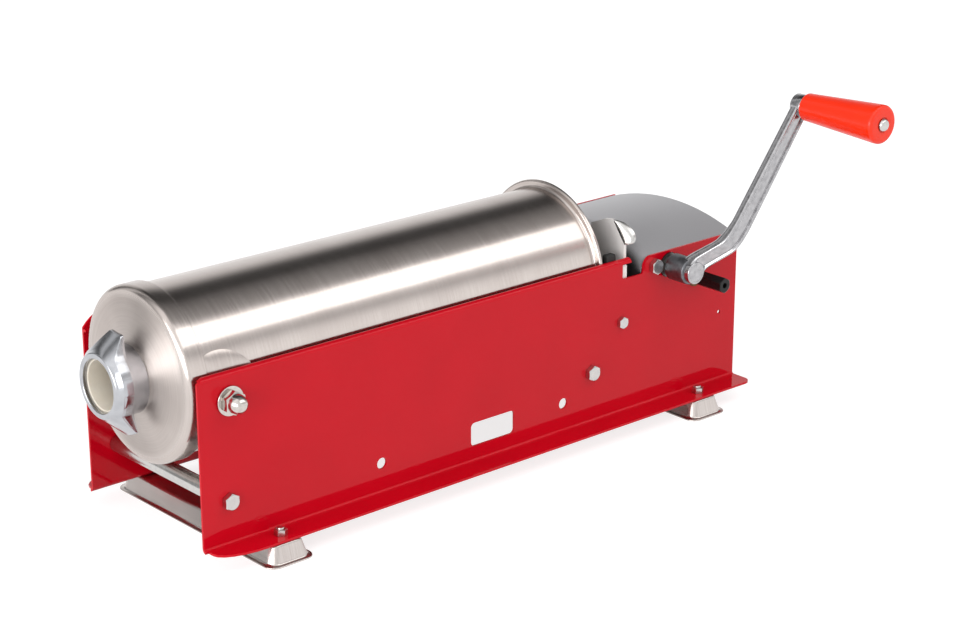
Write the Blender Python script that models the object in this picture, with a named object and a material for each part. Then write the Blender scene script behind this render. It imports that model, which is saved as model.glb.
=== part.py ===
"""Horizontal sausage stuffer with a two-speed crank, rack and piston.

While it is modelled, x runs from the outlet end to the crank end, y from the crank side to the far side,
and z up from the top of the side panels' bottom flanges. The root empty then moves the whole machine, so
that its origin lies under the middle of its box. All sizes are in metres.
"""

import math

import bmesh
import bpy
from mathutils import Vector

# Cylinder with its front cap, outlet and pivots. Places along x start at the near panel's front edge
BORE_RADIUS = 0.070
TUBE_WALL = 0.0015
TUBE_REAR = 0.4435
RIM_STAND = 0.0072
RIM_DEPTH = 0.0042
CAP_INSIDE = 0.0012
CAP_SKIRT = 0.0172
CAP_WALL = 0.0027
CAP_FACE = -0.0014
CAP_BULGE = 0.0046
CAP_CORNER = 0.003
CAP_FLAT = 0.006
NECK_END = -0.0327
NECK_RADIUS = 0.026
NECK_BORE = 0.0225
NECK_FILLET = 0.003
NUT_FRONT = -0.0385
NUT_BACK = -0.0085
NUT_LIP = 0.0037
NUT_RADIUS = 0.0315
NUT_COLLAR = 0.029
NUT_COLLAR_LENGTH = 0.0135
NUT_NOSE = 0.0275
NUT_NOSE_LENGTH = 0.007
WING_REACH = 0.042
WING_ROOT = 0.029
WING_WAIST = 0.0218
WING_TIP = 0.015
WING_WAIST_AT = 0.0344
WING_SWEEP = (0.0055, 0.0115, 0.016)
WING_BACK = (0.0012, 0.0015, 0.0038)
WING_LEANS = (math.radians(-4), math.radians(18))
LINER_WALL = 0.0016
LINER_LENGTH = 0.028
LINER_FLANGE = 0.0015
PIVOT_X = 0.030
PIVOT_DROP = 0.0053
PIVOT_RADIUS = 0.006
PIVOT_BOSS = 0.011
PAD_RADIUS = 0.037
PAD_THICKNESS = 0.002
WASHER = (0.0127, 0.0022)
DOME_NUT = (0.018, 0.007, 0.0175)
DOME_SHOULDER = 0.001
DOME_SHARE = 0.93
STUD_SHARE = 0.7

# Frame of two folded side panels
REAR_LENGTH = 0.1685
PANEL_HEIGHT = 0.1445
SIDE_ROOM = 0.0018
SHEET = 0.002
BEND_INSIDE = 0.002
FLANGE_WIDTH = 0.025
FLANGE_SETBACK = 0.003
FLANGE_CURVE = (0.042, 0.017)
FLANGE_REAR_RADIUS = 0.008
HEM_WIDTH = 0.0052
HEM_BEHIND = 0.0295
FRONT_CHAMFER = (0.007, 0.0035)
NOTCH_BEHIND = 0.0185
NOTCH_WIDTH = 0.026
NOTCH_DEPTH = 0.0177
NOTCH_RADIUS = 0.010
REAR_STEP = 0.0022
WINDOW = (0.281, 0.331, 0.0135, 0.035)
WINDOW_RADIUS = 0.004
SPARE_HOLES = ((0.1818, 0.0256, 0.005), (0.390, 0.0257, 0.005), (0.5903, 0.0669, 0.002))
EAR_RADIUS = 0.0385
AXIS_DROP = 0.018
GAP = 0.0003

# Hexagon bolts and nuts: across flats, head height, shank radius
M8 = (0.013, 0.0053, 0.004)
M6 = (0.010, 0.0040, 0.003)
BOLT_CLEARANCE = 0.0003
BOLT_IN_ROD = 0.020
HEAD_TOP_SHARE = 0.95
HEAD_CHAMFER_SHARE = 0.12
BOLT_PAST_SHEETS = 0.003
HOOD_BOLT_INSIDE = 0.005

# Tie rods and feet
ROD_RADIUS = 0.0076
ROD_CHAMFER = 0.0006
FRONT_ROD_X = 0.026
ROD_UNDER_CAP = 0.0078
ROD_AHEAD = 0.0195
FRONT_FOOT_X = 0.0655
REAR_FOOT_INSET = 0.062
FOOT_HEIGHT = 0.018
FOOT_WIDTH = 0.046
FOOT_OVERHANG = 0.0315
FOOT_LIP_WIDTH = 0.003
FOOT_DRAFT = 0.0045
FOOT_SHEET = 0.0015
FOOT_CORNER = 0.008
FOOT_SCREW_OUT = 0.0135
FOOT_SCREW_HEAD = (0.0055, 0.0028)
FOOT_NUT_HEIGHT = 0.005
FOOT_SCREW_PROUD = 0.0015
DOMED_SHARE = 0.7

# Cross plate behind the cylinder, with its ears, buffers and rack guide
PLATE_BEHIND = 0.0248
PLATE_THICKNESS = 0.003
PLATE_BOTTOM = 0.030
PLATE_SHOULDER_DROP = 0.0205
EAR_STEP_RISE = 0.0125
EAR_TOP = (0.0205, 0.033)
EAR_CREST = (0.0305, 0.0315)
EAR_INNER = (0.048, 0.024)
EAR_FILLET = 0.014
PLATE_DIP_RISE = 0.009
LOBE_REACH = 0.015
SIDE_FLANGE_BEHIND = 0.0035
SIDE_FLANGE_DROP = 0.0055
PLATE_SCREW = (0.0177, 0.0581)
BUFFER_BEHIND = 0.004
BUFFER_LENGTH = 0.011
BUFFER_WIDTH = 0.0062
BUFFER_BELOW = 0.0185
BUFFER_ABOVE = 0.006
BUFFER_ROUND = 0.0015
GUIDE_INSET = 0.022
GUIDE_WALL = 0.003
GUIDE_FLANGE = 0.020
GUIDE_SCREW_SPREAD = 0.0175
GUIDE_SCREW_HEAD = (0.005, 0.003)
GUIDE_OVER_PINION = 0.001
SLOT_ROOM = 0.0012

# Drive: gears, rack and shafts
STROKE_ROOM = 0.0017
SLOW_AXIS_FROM = (0.0775, 0.002)
MESH_ANGLE = math.radians(28.2)
GEAR_MODULE = 0.002
SLOW_TEETH = 12
LARGE_TEETH = 28
RACK_MODULE = 0.0025
PINION_TEETH = 10
PRESSURE_ANGLE = math.radians(25)
ADDENDUM = 0.8
DEDENDUM = 1.1
TOOTH_THINNING = 0.0003
GEAR_WIDTH = 0.010
GEAR_NEAR = 0.014
GEAR_HUB_RADIUS = 0.012
SLOW_PINION_EXTRA = 0.001
RACK_WIDTH = 0.016
RACK_BACK = 0.013
RACK_INSET = 0.020
RACK_HOLE_ROOM = 0.002
PINION_WIDTH = 0.018
SHAFT_RADIUS = 0.007
SHAFT_CHAMFER = 0.0008
HEX_FLATS = 0.013
HEX_STOP = -0.003
CENTRE_HOLE = (0.0025, 0.010)
SLOW_END = -0.0324
SLOW_PAST_GEAR = 0.005
FAST_END = -0.038
FAST_PAST_FRAME = 0.0055
RING_WIDTH = 0.0035
RING_THICKNESS = 0.0012
RING_INSET = 0.0035
RING_STAND = 0.0011
BUSH_WALL = 0.002
BUSH_FLANGE = 0.013
BUSH_PROUD = 0.0008
SLOW_BEARING_RADIUS = 0.0115
BEARING_BELOW = 0.016
BEARING_ROOM = 0.0013
BEARING_CORNER = 0.003

# Piston
PISTON_DEPTH = 0.014
PISTON_CLEARANCE = 0.0006
PISTON_EDGE = 0.001
SEAL_WIDTH = 0.005
SEAL_DEPTH = 0.0035
BACKING_SETBACK = 0.010
BACKING_THICKNESS = 0.003
PISTON_BOLT_HEAD = (0.009, 0.005)

# Gear hood
HOOD_BEHIND = 0.0425
HOOD_INSET = 0.004
HOOD_EDGE_DROP = 0.0038
HOOD_RISE = 0.0145
HOOD_CROWN_DROP = 0.0025
HOOD_TAB_DROP = 0.0285
HOOD_TAB_WIDTH = 0.0225
HOOD_ROUND = 0.018
HOOD_SHEET = 0.0012
HOOD_SCREW = (0.0588, 0.0133)
HOOD_ROOM = 0.0015

# Crank and grip
CRANK_RADIUS = 0.1785
CRANK_ANGLE = math.radians(52.6)
CRANK_BACK = -0.0062
CRANK_FACE = -0.035
CRANK_EDGE = 0.0008
HUB_RADIUS = 0.0123
ARM_ELBOW = 0.040
ARM_ELBOW_SHARES = ((0.25, 0.22), (0.80, 0.84), (1.05, 0.955), (1.35, 1.0))
ARM_OFFSET = -0.0563
ARM_THICKNESS = 0.009
ARM_BEHIND_FACE = 0.0005
ARM_WIDTH = (0.020, 0.017)
ARM_BEAD = 0.0025
ARM_RIB = 0.003
EYE_RADIUS = 0.0105
GRIP_START = -0.0635
GRIP_END = -0.1515
GRIP_RADII = (0.0128, 0.0176)
GRIP_NECK = (0.0025, 0.0006, 0.001, 0.003)
GRIP_NOSE = (0.0012, 0.0018, 0.0045)
GRIP_PIN = (0.004, 0.0062, 0.0035)
PIN_SHARES = (0.75, 0.55)

# Fineness of round forms
FINE = 32
ROUND = 18
SMALL = 12
TINY = 1e-7

# The tube's size sets the frame's width, and its rear end the places of all that stands behind it
TUBE_RADIUS = BORE_RADIUS + TUBE_WALL
RIM_RADIUS = TUBE_RADIUS + RIM_STAND
CAP_RADIUS = TUBE_RADIUS + GAP + CAP_WALL
FRAME_WIDTH = 2 * (RIM_RADIUS + SIDE_ROOM + SHEET)
PANEL_LENGTH = TUBE_REAR + REAR_LENGTH
INSIDE_WIDTH = FRAME_WIDTH - 2 * SHEET
MIDDLE = FRAME_WIDTH / 2
FAR_WEB = FRAME_WIDTH - SHEET
AXIS_HEIGHT = PANEL_HEIGHT - AXIS_DROP
HEM_END = TUBE_REAR + HEM_BEHIND
NOTCH_FRONT = TUBE_REAR + NOTCH_BEHIND
NOTCH_REAR = NOTCH_FRONT + NOTCH_WIDTH
NOTCH_BOTTOM = PANEL_HEIGHT - NOTCH_DEPTH
REAR_TOP = PANEL_HEIGHT - REAR_STEP
PIVOT_Z = AXIS_HEIGHT - PIVOT_DROP
FRONT_ROD = (FRONT_ROD_X, AXIS_HEIGHT - CAP_RADIUS - ROD_UNDER_CAP - ROD_RADIUS)
REAR_ROD = (TUBE_REAR - ROD_AHEAD, AXIS_HEIGHT - TUBE_RADIUS - GAP - ROD_RADIUS)
FOOT_CENTRES = (FRONT_FOOT_X, PANEL_LENGTH - REAR_FOOT_INSET)
FOOT_LENGTH = FRAME_WIDTH + 2 * FOOT_OVERHANG
FOOT_BOTTOM = -SHEET - FOOT_HEIGHT
PLATE_X = TUBE_REAR + PLATE_BEHIND
PLATE_SHOULDER = PANEL_HEIGHT - PLATE_SHOULDER_DROP
PLATE_FIXING = (TUBE_REAR + PLATE_SCREW[0], PANEL_HEIGHT - PLATE_SCREW[1])
HOOD_FRONT = TUBE_REAR + HOOD_BEHIND
HOOD_REAR = PANEL_LENGTH - HOOD_INSET
HOOD_EDGE = PANEL_HEIGHT - HOOD_EDGE_DROP
HOOD_CROWN_START = PANEL_HEIGHT - HOOD_CROWN_DROP
HOOD_TAB_BOTTOM = PANEL_HEIGHT - HOOD_TAB_DROP
HOOD_TAB_REAR = HOOD_FRONT + HOOD_TAB_WIDTH
HOOD_FIXING = (TUBE_REAR + HOOD_SCREW[0], PANEL_HEIGHT - HOOD_SCREW[1])

SLOW_AXIS = (TUBE_REAR + SLOW_AXIS_FROM[0], AXIS_HEIGHT + SLOW_AXIS_FROM[1])
CENTRE_DISTANCE = GEAR_MODULE * (SLOW_TEETH + LARGE_TEETH) / 2
FAST_AXIS = (
    SLOW_AXIS[0] + CENTRE_DISTANCE * math.cos(MESH_ANGLE),
    SLOW_AXIS[1] - CENTRE_DISTANCE * math.sin(MESH_ANGLE),
)
PINION_RADIUS = RACK_MODULE * PINION_TEETH / 2
RACK_PITCH_LINE = FAST_AXIS[1] + PINION_RADIUS
RACK_TIPS = RACK_PITCH_LINE - ADDENDUM * RACK_MODULE
RACK_ROOTS = RACK_PITCH_LINE + DEDENDUM * RACK_MODULE
RACK_TOP = RACK_ROOTS + RACK_BACK
PISTON_FRONT = CAP_INSIDE + GAP
PISTON_BACK = PISTON_FRONT + PISTON_DEPTH
RACK_FRONT = PISTON_BACK + GAP + BACKING_THICKNESS + GAP
RACK_REAR = PANEL_LENGTH - RACK_INSET
STROKE = PLATE_X - RACK_FRONT - STROKE_ROOM
RACK_TOOTHED_FROM = FAST_AXIS[0] - STROKE - PINION_RADIUS
SLOW_FAR_END = GEAR_NEAR + GEAR_WIDTH + SLOW_PAST_GEAR
BUSH_BORE = SHAFT_RADIUS + GAP
GRIP_AXIS = (
    SLOW_AXIS[0] + CRANK_RADIUS * math.cos(CRANK_ANGLE),
    SLOW_AXIS[1] + CRANK_RADIUS * math.sin(CRANK_ANGLE),
)


def corner_radius(flats):
    """Radius to a hexagon's corners from its width across flats."""
    return flats / 2 / math.cos(math.pi / 6)


def clear_scene():
    """Remove every object, so that the model starts from nothing."""
    for item in list(bpy.data.objects):
        bpy.data.objects.remove(item, do_unlink=True)


def material(name, colour, roughness, metallic):
    """Give one Principled material with the piece's own colour."""
    made = bpy.data.materials.new(name)
    made.use_nodes = True
    shader = made.node_tree.nodes["Principled BSDF"]
    shader.inputs["Base Color"].default_value = (*colour, 1.0)
    shader.inputs["Roughness"].default_value = roughness
    shader.inputs["Metallic"].default_value = metallic
    return made


def arc(centre, radius, start, end, steps):
    """Points along an arc, with angles in degrees; radius may be a pair for an ellipse."""
    across, up = radius if isinstance(radius, tuple) else (radius, radius)
    points = []
    for step in range(steps + 1):
        angle = math.radians(start + (end - start) * step / steps)
        points.append((centre[0] + across * math.cos(angle), centre[1] + up * math.sin(angle)))
    return points


def circle(centre, radius, sides):
    """Points of a full circle, the first at its top."""
    return arc(centre, radius, 90, 450, sides)[:-1]


def rounded_box(low, high, radius, steps=4):
    """Outline of a rectangle with round corners."""
    left, bottom = low[0] + radius, low[1] + radius
    right, top = high[0] - radius, high[1] - radius
    outline = arc((right, bottom), radius, -90, 0, steps)
    outline += arc((right, top), radius, 0, 90, steps)
    outline += arc((left, top), radius, 90, 180, steps)
    outline += arc((left, bottom), radius, 180, 270, steps)
    return outline


def along_x(a, b, depth):
    """Place an outline drawn as (y, z) at a depth along x."""
    return (depth, a, b)


def along_y(a, b, depth):
    """Place an outline drawn as (x, z) at a depth along y."""
    return (a, depth, b)


def along_z(a, b, depth):
    """Place an outline drawn as (x, y) at a depth along z."""
    return (a, b, depth)


def prism(shape, outline, low, high, direction):
    """Extrude a flat outline from one depth to another."""
    corners = [shape.verts.new(direction(a, b, low)) for a, b in outline]
    base = shape.faces.new(corners)
    raised = bmesh.ops.extrude_face_region(shape, geom=[base])
    lifted = [item for item in raised["geom"] if isinstance(item, bmesh.types.BMVert)]
    travel = Vector(direction(0, 0, high)) - Vector(direction(0, 0, low))
    bmesh.ops.translate(shape, verts=lifted, vec=travel)


def turned(shape, profile, sides, centre, direction):
    """Turn a profile of (radius, depth) about an axis.

    A third entry, "hex", makes that ring a hexagon with the radius at its corners. A profile that starts and
    ends on the axis is closed by itself, and any other is closed from its last point to its first.
    """
    rings = []
    for point in profile:
        radius, depth = point[0], point[1]
        if radius < TINY:
            rings.append([shape.verts.new(direction(centre[0], centre[1], depth))])
            continue
        ring = []
        for side in range(sides):
            angle = math.pi / 2 + 2 * math.pi * side / sides
            reach = radius
            if len(point) == 3:
                turn = 2 * math.pi * side / sides % (math.pi / 3)
                reach *= math.cos(math.pi / 6) / math.cos(turn - math.pi / 6)
            a = centre[0] + reach * math.cos(angle)
            b = centre[1] + reach * math.sin(angle)
            ring.append(shape.verts.new(direction(a, b, depth)))
        rings.append(ring)
    pairs = list(zip(rings, rings[1:]))
    if len(rings[0]) > 1 and len(rings[-1]) > 1:
        pairs.append((rings[-1], rings[0]))
    for first, second in pairs:
        for side in range(sides):
            corners = []
            for ring, index in ((first, side), (first, side + 1), (second, side + 1), (second, side)):
                corner = ring[index % len(ring)]
                if corner not in corners:
                    corners.append(corner)
            shape.faces.new(corners)


def loft(shape, sections):
    """Join rings of equally many points into one closed body, with its first and last ring as its ends."""
    shape.faces.new(sections[0])
    shape.faces.new(sections[-1])
    for first, second in zip(sections, sections[1:]):
        for index in range(len(first)):
            after = (index + 1) % len(first)
            shape.faces.new((first[index], first[after], second[after], second[index]))


def place(name, shape, parent, origin=(0, 0, 0), finish=None, sharp=30):
    """Turn a shape into a named object whose origin is at the given point of the machine."""
    bmesh.ops.recalc_face_normals(shape, faces=shape.faces)
    bmesh.ops.translate(shape, verts=shape.verts, vec=-Vector(origin))
    mesh = bpy.data.meshes.new(name)
    shape.to_mesh(mesh)
    shape.free()
    mesh.shade_smooth()
    mesh.set_sharp_from_angle(angle=math.radians(sharp))
    made = bpy.data.objects.new(name, mesh)
    bpy.context.collection.objects.link(made)
    made.parent = parent
    made.location = Vector(origin) - Vector(parent["origin"])
    if finish:
        mesh.materials.append(finish)
    return made


def empty(name, parent, origin):
    """An empty on a joint's axis, which carries the pieces that move with it."""
    made = bpy.data.objects.new(name, None)
    bpy.context.collection.objects.link(made)
    made.empty_display_size = 0.02
    made["origin"] = origin
    if parent:
        made.parent = parent
        made.location = Vector(origin) - Vector(parent["origin"])
    return made


def combine(target, shape, operation):
    """Cut a shape from a piece, join it on, or keep only what both share."""
    name = f"{target.name}_{operation.lower()}_{len(target.modifiers)}"
    tool = place(name, shape, target.parent, Vector(target.parent["origin"]) + target.location)
    tool.hide_render = True
    tool.display_type = "WIRE"
    step = target.modifiers.new(operation.title(), "BOOLEAN")
    step.operation = operation
    step.solver = "EXACT"
    step.object = tool
    return step


def hex_bolt(name, parent, centre, head_at, outward, size, length, finish):
    """A hexagon bolt along y, its head's seat at head_at and its shank running the other way."""
    flats, head, shank = size
    corner = corner_radius(flats)
    top = head_at + outward * head
    shape = bmesh.new()
    profile = (
        (0, top),
        (flats / 2 * HEAD_TOP_SHARE, top),
        (corner, top - outward * head * HEAD_CHAMFER_SHARE, "hex"),
        (corner, head_at, "hex"),
        (shank, head_at),
        (shank, head_at - outward * length),
        (0, head_at - outward * length),
    )
    turned(shape, profile, SMALL, centre, along_y)
    return place(name, shape, parent, (centre[0], head_at, centre[1]), finish)


def gear_outline(centre, teeth, module, first_tooth, flank_steps):
    """Outline of an involute gear, with the middle of its first tooth at the given angle."""
    pitch = module * teeth / 2
    base = pitch * math.cos(PRESSURE_ANGLE)
    tip = pitch + ADDENDUM * module
    root = pitch - DEDENDUM * module
    half_at_pitch = (math.pi * module / 2 - TOOTH_THINNING) / 2 / pitch
    rolled_at_pitch = math.tan(PRESSURE_ANGLE) - PRESSURE_ANGLE

    def half_angle(radius):
        """Half of the tooth's angle at a radius, from the involute of the base circle."""
        contact = math.acos(min(1.0, base / radius))
        return half_at_pitch + rolled_at_pitch - (math.tan(contact) - contact)

    start = max(base, root)
    radii = [start + (tip - start) * (step / flank_steps) for step in range(flank_steps + 1)]
    flank = [(radius, half_angle(radius)) for radius in radii]
    if root < start:
        flank.insert(0, (root, flank[0][1]))
    outline = []
    for tooth in range(teeth):
        middle = first_tooth + 2 * math.pi * tooth / teeth
        rising = [(radius, middle - half) for radius, half in flank]
        falling = [(radius, middle + half) for radius, half in reversed(flank)]
        for radius, angle in rising + falling:
            outline.append((centre[0] + radius * math.cos(angle), centre[1] + radius * math.sin(angle)))
    return outline


def gear(name, parent, centre, teeth, module, first_tooth, across, finish, hub=None, flank_steps=2):
    """A spur gear on its shaft, from one depth to another, with an optional hub of (radius, low, high)."""
    low, high = across
    shape = bmesh.new()
    prism(shape, gear_outline(centre, teeth, module, first_tooth, flank_steps), low, high, along_y)
    made = place(name, shape, parent, (centre[0], low, centre[1]), finish)
    if hub:
        radius, hub_low, hub_high = hub
        shape = bmesh.new()
        prism(shape, circle(centre, radius, ROUND), hub_low, hub_high, along_y)
        combine(made, shape, "UNION")
    shape = bmesh.new()
    reach = 2 * (high - low)
    prism(shape, circle(centre, BUSH_BORE, ROUND), low - reach, high + reach, along_y)
    combine(made, shape, "DIFFERENCE")
    return made


def side_panel(name, parent, outside, inward, finish):
    """One folded side panel: outward bottom flange, web and inward top hem, with its cut-outs."""
    outer_bend = BEND_INSIDE + SHEET
    foot_outside = arc((-BEND_INSIDE, BEND_INSIDE), BEND_INSIDE, -90, 0, 3)
    foot_inside = arc((-BEND_INSIDE, BEND_INSIDE), outer_bend, 0, -90, 4)
    bent = arc((outer_bend, PANEL_HEIGHT - outer_bend), outer_bend, 180, 90, 4)
    bent += [(HEM_WIDTH, PANEL_HEIGHT), (HEM_WIDTH, PANEL_HEIGHT - SHEET)]
    bent += arc((outer_bend, PANEL_HEIGHT - outer_bend), BEND_INSIDE, 90, 180, 3)
    flat = [(0, REAR_TOP), (SHEET, REAR_TOP)]
    start = [(-FLANGE_WIDTH, -SHEET), (-FLANGE_WIDTH, 0)]
    shapes = []
    for head, low, high in ((bent, 0, HEM_END), (flat, HEM_END, PANEL_LENGTH)):
        section = start + foot_outside + head + foot_inside
        outline = [(outside + inward * depth, height) for depth, height in section]
        shape = bmesh.new()
        prism(shape, outline, low, high, along_x)
        shapes.append(shape)
    panel = place(name, shapes[0], parent, (0, outside, 0), finish)
    combine(panel, shapes[1], "UNION")
    far = inward < 0
    if far:
        ear = bmesh.new()
        base = PANEL_HEIGHT - 2 * outer_bend
        chord = math.degrees(math.asin((base - PIVOT_Z) / EAR_RADIUS))
        front = math.degrees(math.acos(-PIVOT_X / EAR_RADIUS))
        hump = arc((PIVOT_X, PIVOT_Z), EAR_RADIUS, chord, front, 14) + [(0, base)]
        prism(ear, hump, outside, outside + inward * SHEET, along_y)
        combine(panel, ear, "UNION")
    through = (outside - 2 * inward * SHEET, outside + 2 * inward * HEM_WIDTH)
    top = PANEL_HEIGHT + 2 * SHEET

    shape = bmesh.new()
    notch = [(HEM_END, top), (HEM_END, PANEL_HEIGHT - outer_bend / 2 - SHEET)]
    notch += [(NOTCH_FRONT, PANEL_HEIGHT - outer_bend / 2 - SHEET)]
    notch += arc((NOTCH_FRONT + SHEET, NOTCH_BOTTOM + SHEET), SHEET, 180, 270, 2)
    notch += arc((NOTCH_REAR - SHEET, NOTCH_BOTTOM + SHEET), SHEET, -90, 0, 2)
    notch += arc((NOTCH_REAR + NOTCH_RADIUS, REAR_TOP - NOTCH_RADIUS), NOTCH_RADIUS, 180, 90, 6)
    notch += [(NOTCH_REAR + NOTCH_RADIUS, top)]
    prism(shape, notch, *through, along_y)
    if not far:
        corner = [(-SHEET, PANEL_HEIGHT - FRONT_CHAMFER[1]), (0, PANEL_HEIGHT - FRONT_CHAMFER[1])]
        corner += [(FRONT_CHAMFER[0], PANEL_HEIGHT), (FRONT_CHAMFER[0], top), (-SHEET, top)]
        prism(shape, corner, *through, along_y)
    left, right, bottom, window_top = WINDOW
    prism(shape, rounded_box((left, bottom), (right, window_top), WINDOW_RADIUS), *through, along_y)
    holes = [(hole[:2], hole[2]) for hole in SPARE_HOLES]
    holes.append(((PIVOT_X, PIVOT_Z), PIVOT_RADIUS + BOLT_CLEARANCE))
    for centre, size in ((FRONT_ROD, M8), (REAR_ROD, M8), (PLATE_FIXING, M6), (HOOD_FIXING, M8)):
        holes.append((centre, size[2] + BOLT_CLEARANCE))
    holes.append((FAST_AXIS, SHAFT_RADIUS + BUSH_WALL + 2 * GAP))
    if not far:
        holes.append((SLOW_AXIS, SLOW_BEARING_RADIUS + GAP))
    for centre, radius in holes:
        sides = ROUND if radius > 2 * SHEET else SMALL
        prism(shape, circle(centre, radius, sides), *through, along_y)
    combine(panel, shape, "DIFFERENCE")

    shape = bmesh.new()
    edge = outside - inward * FLANGE_WIDTH
    beyond = edge - inward * SHEET
    start = outside - inward * (FLANGE_WIDTH - FLANGE_CURVE[1])
    curve_end = FLANGE_SETBACK + FLANGE_CURVE[0]
    web_foot = outside - inward * BEND_INSIDE
    corner = [(-SHEET, beyond), (curve_end, beyond)]
    sweep = arc((curve_end, start), (FLANGE_CURVE[0], inward * -FLANGE_CURVE[1]), 90, 180, 6)
    corner += sweep + [(FLANGE_SETBACK, web_foot), (-SHEET, web_foot)]
    prism(shape, corner, -2 * SHEET, 2 * SHEET, along_z)
    rear = PANEL_LENGTH - FLANGE_REAR_RADIUS
    turn = edge + inward * FLANGE_REAR_RADIUS
    corner = [(PANEL_LENGTH + SHEET, beyond), (PANEL_LENGTH + SHEET, turn)]
    corner += arc((rear, turn), (FLANGE_REAR_RADIUS, -inward * FLANGE_REAR_RADIUS), 0, 90, 4)
    corner += [(rear, beyond)]
    prism(shape, corner, -2 * SHEET, 2 * SHEET, along_z)
    for x in FOOT_CENTRES:
        centre = (x, outside - inward * FOOT_SCREW_OUT)
        prism(shape, circle(centre, M6[2] + BOLT_CLEARANCE, SMALL), -2 * SHEET, 2 * SHEET, along_z)
    combine(panel, shape, "DIFFERENCE")
    return panel


def tie_rod(name, parent, centre, finish):
    """A round bar across the frame, bored at both ends for its bolts."""
    low, high = SHEET + GAP, FAR_WEB - GAP
    bore = M8[2] + BOLT_CLEARANCE
    depth = BOLT_IN_ROD + 2 * BOLT_CLEARANCE
    chamfer = ROD_CHAMFER
    shape = bmesh.new()
    profile = (
        (0, low + depth),
        (bore, low + depth),
        (bore, low),
        (ROD_RADIUS - chamfer, low),
        (ROD_RADIUS, low + chamfer),
        (ROD_RADIUS, high - chamfer),
        (ROD_RADIUS - chamfer, high),
        (bore, high),
        (bore, high - depth),
        (0, high - depth),
    )
    turned(shape, profile, ROUND, centre, along_y)
    return place(name, shape, parent, (centre[0], low, centre[1]), finish)


def foot(name, parent, centre_x, finish):
    """A pressed tray, open below, across the whole frame."""
    half = (FOOT_WIDTH / 2, FOOT_LENGTH / 2)
    top = -SHEET - GAP
    lip_top = FOOT_BOTTOM + FOOT_SHEET
    shape = bmesh.new()
    levels = (
        (FOOT_SHEET + FOOT_LIP_WIDTH, FOOT_BOTTOM),
        (FOOT_SHEET + FOOT_LIP_WIDTH + FOOT_DRAFT, top - FOOT_SHEET),
        (None, None),
        (FOOT_LIP_WIDTH + FOOT_DRAFT, top),
        (FOOT_LIP_WIDTH, lip_top),
        (0, lip_top),
        (0, FOOT_BOTTOM),
    )
    rings = []
    for inset, height in levels:
        if inset is None:
            rings.append(None)
            continue
        corner = FOOT_CORNER if inset < FOOT_LIP_WIDTH + FOOT_DRAFT else FOOT_CORNER - FOOT_SHEET
        low = (centre_x - half[0] + inset, MIDDLE - half[1] + inset)
        high = (centre_x + half[0] - inset, MIDDLE + half[1] - inset)
        outline = rounded_box(low, high, corner)
        rings.append([shape.verts.new((a, b, height)) for a, b in outline])
    count = len(rings[0])
    for first, second in zip(rings, rings[1:] + rings[:1]):
        if first is None or second is None:
            continue
        for index in range(count):
            after = (index + 1) % count
            shape.faces.new((first[index], first[after], second[after], second[index]))
    shape.faces.new(rings[1])
    shape.faces.new(rings[3])
    made = place(name, shape, parent, (centre_x, MIDDLE, FOOT_BOTTOM), finish)
    shape = bmesh.new()
    for y in (-FOOT_SCREW_OUT, FRAME_WIDTH + FOOT_SCREW_OUT):
        hole = circle((centre_x, y), M6[2] + BOLT_CLEARANCE, SMALL)
        prism(shape, hole, top - 2 * FOOT_SHEET, top + FOOT_SHEET, along_z)
    combine(made, shape, "DIFFERENCE")
    return made


def foot_fixing(parent, end, side, centre, steel):
    """The screw that comes up through a foot and the flange, and its nut."""
    flats, _, shank = M6
    head_radius, head = FOOT_SCREW_HEAD
    seat = -SHEET - GAP - FOOT_SHEET - GAP
    nut_low, nut_high = GAP, GAP + FOOT_NUT_HEIGHT
    tip = nut_high + FOOT_SCREW_PROUD
    shape = bmesh.new()
    profile = (
        (0, seat - head),
        (head_radius * DOMED_SHARE, seat - head),
        (head_radius, seat - head / 2),
        (head_radius, seat),
        (shank, seat),
        (shank, tip),
        (0, tip),
    )
    turned(shape, profile, SMALL, centre, along_z)
    place(f"foot_screw_{end}_{side}", shape, parent, (*centre, seat), steel)
    shape = bmesh.new()
    corner = corner_radius(flats)
    bore = shank + BOLT_CLEARANCE
    chamfer = ROD_CHAMFER
    profile = (
        (bore, nut_low),
        (corner, nut_low, "hex"),
        (corner, nut_high - chamfer, "hex"),
        (flats / 2, nut_high),
        (bore, nut_high),
    )
    turned(shape, profile, SMALL, centre, along_z)
    place(f"foot_nut_{end}_{side}", shape, parent, (*centre, nut_low), steel)


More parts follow.
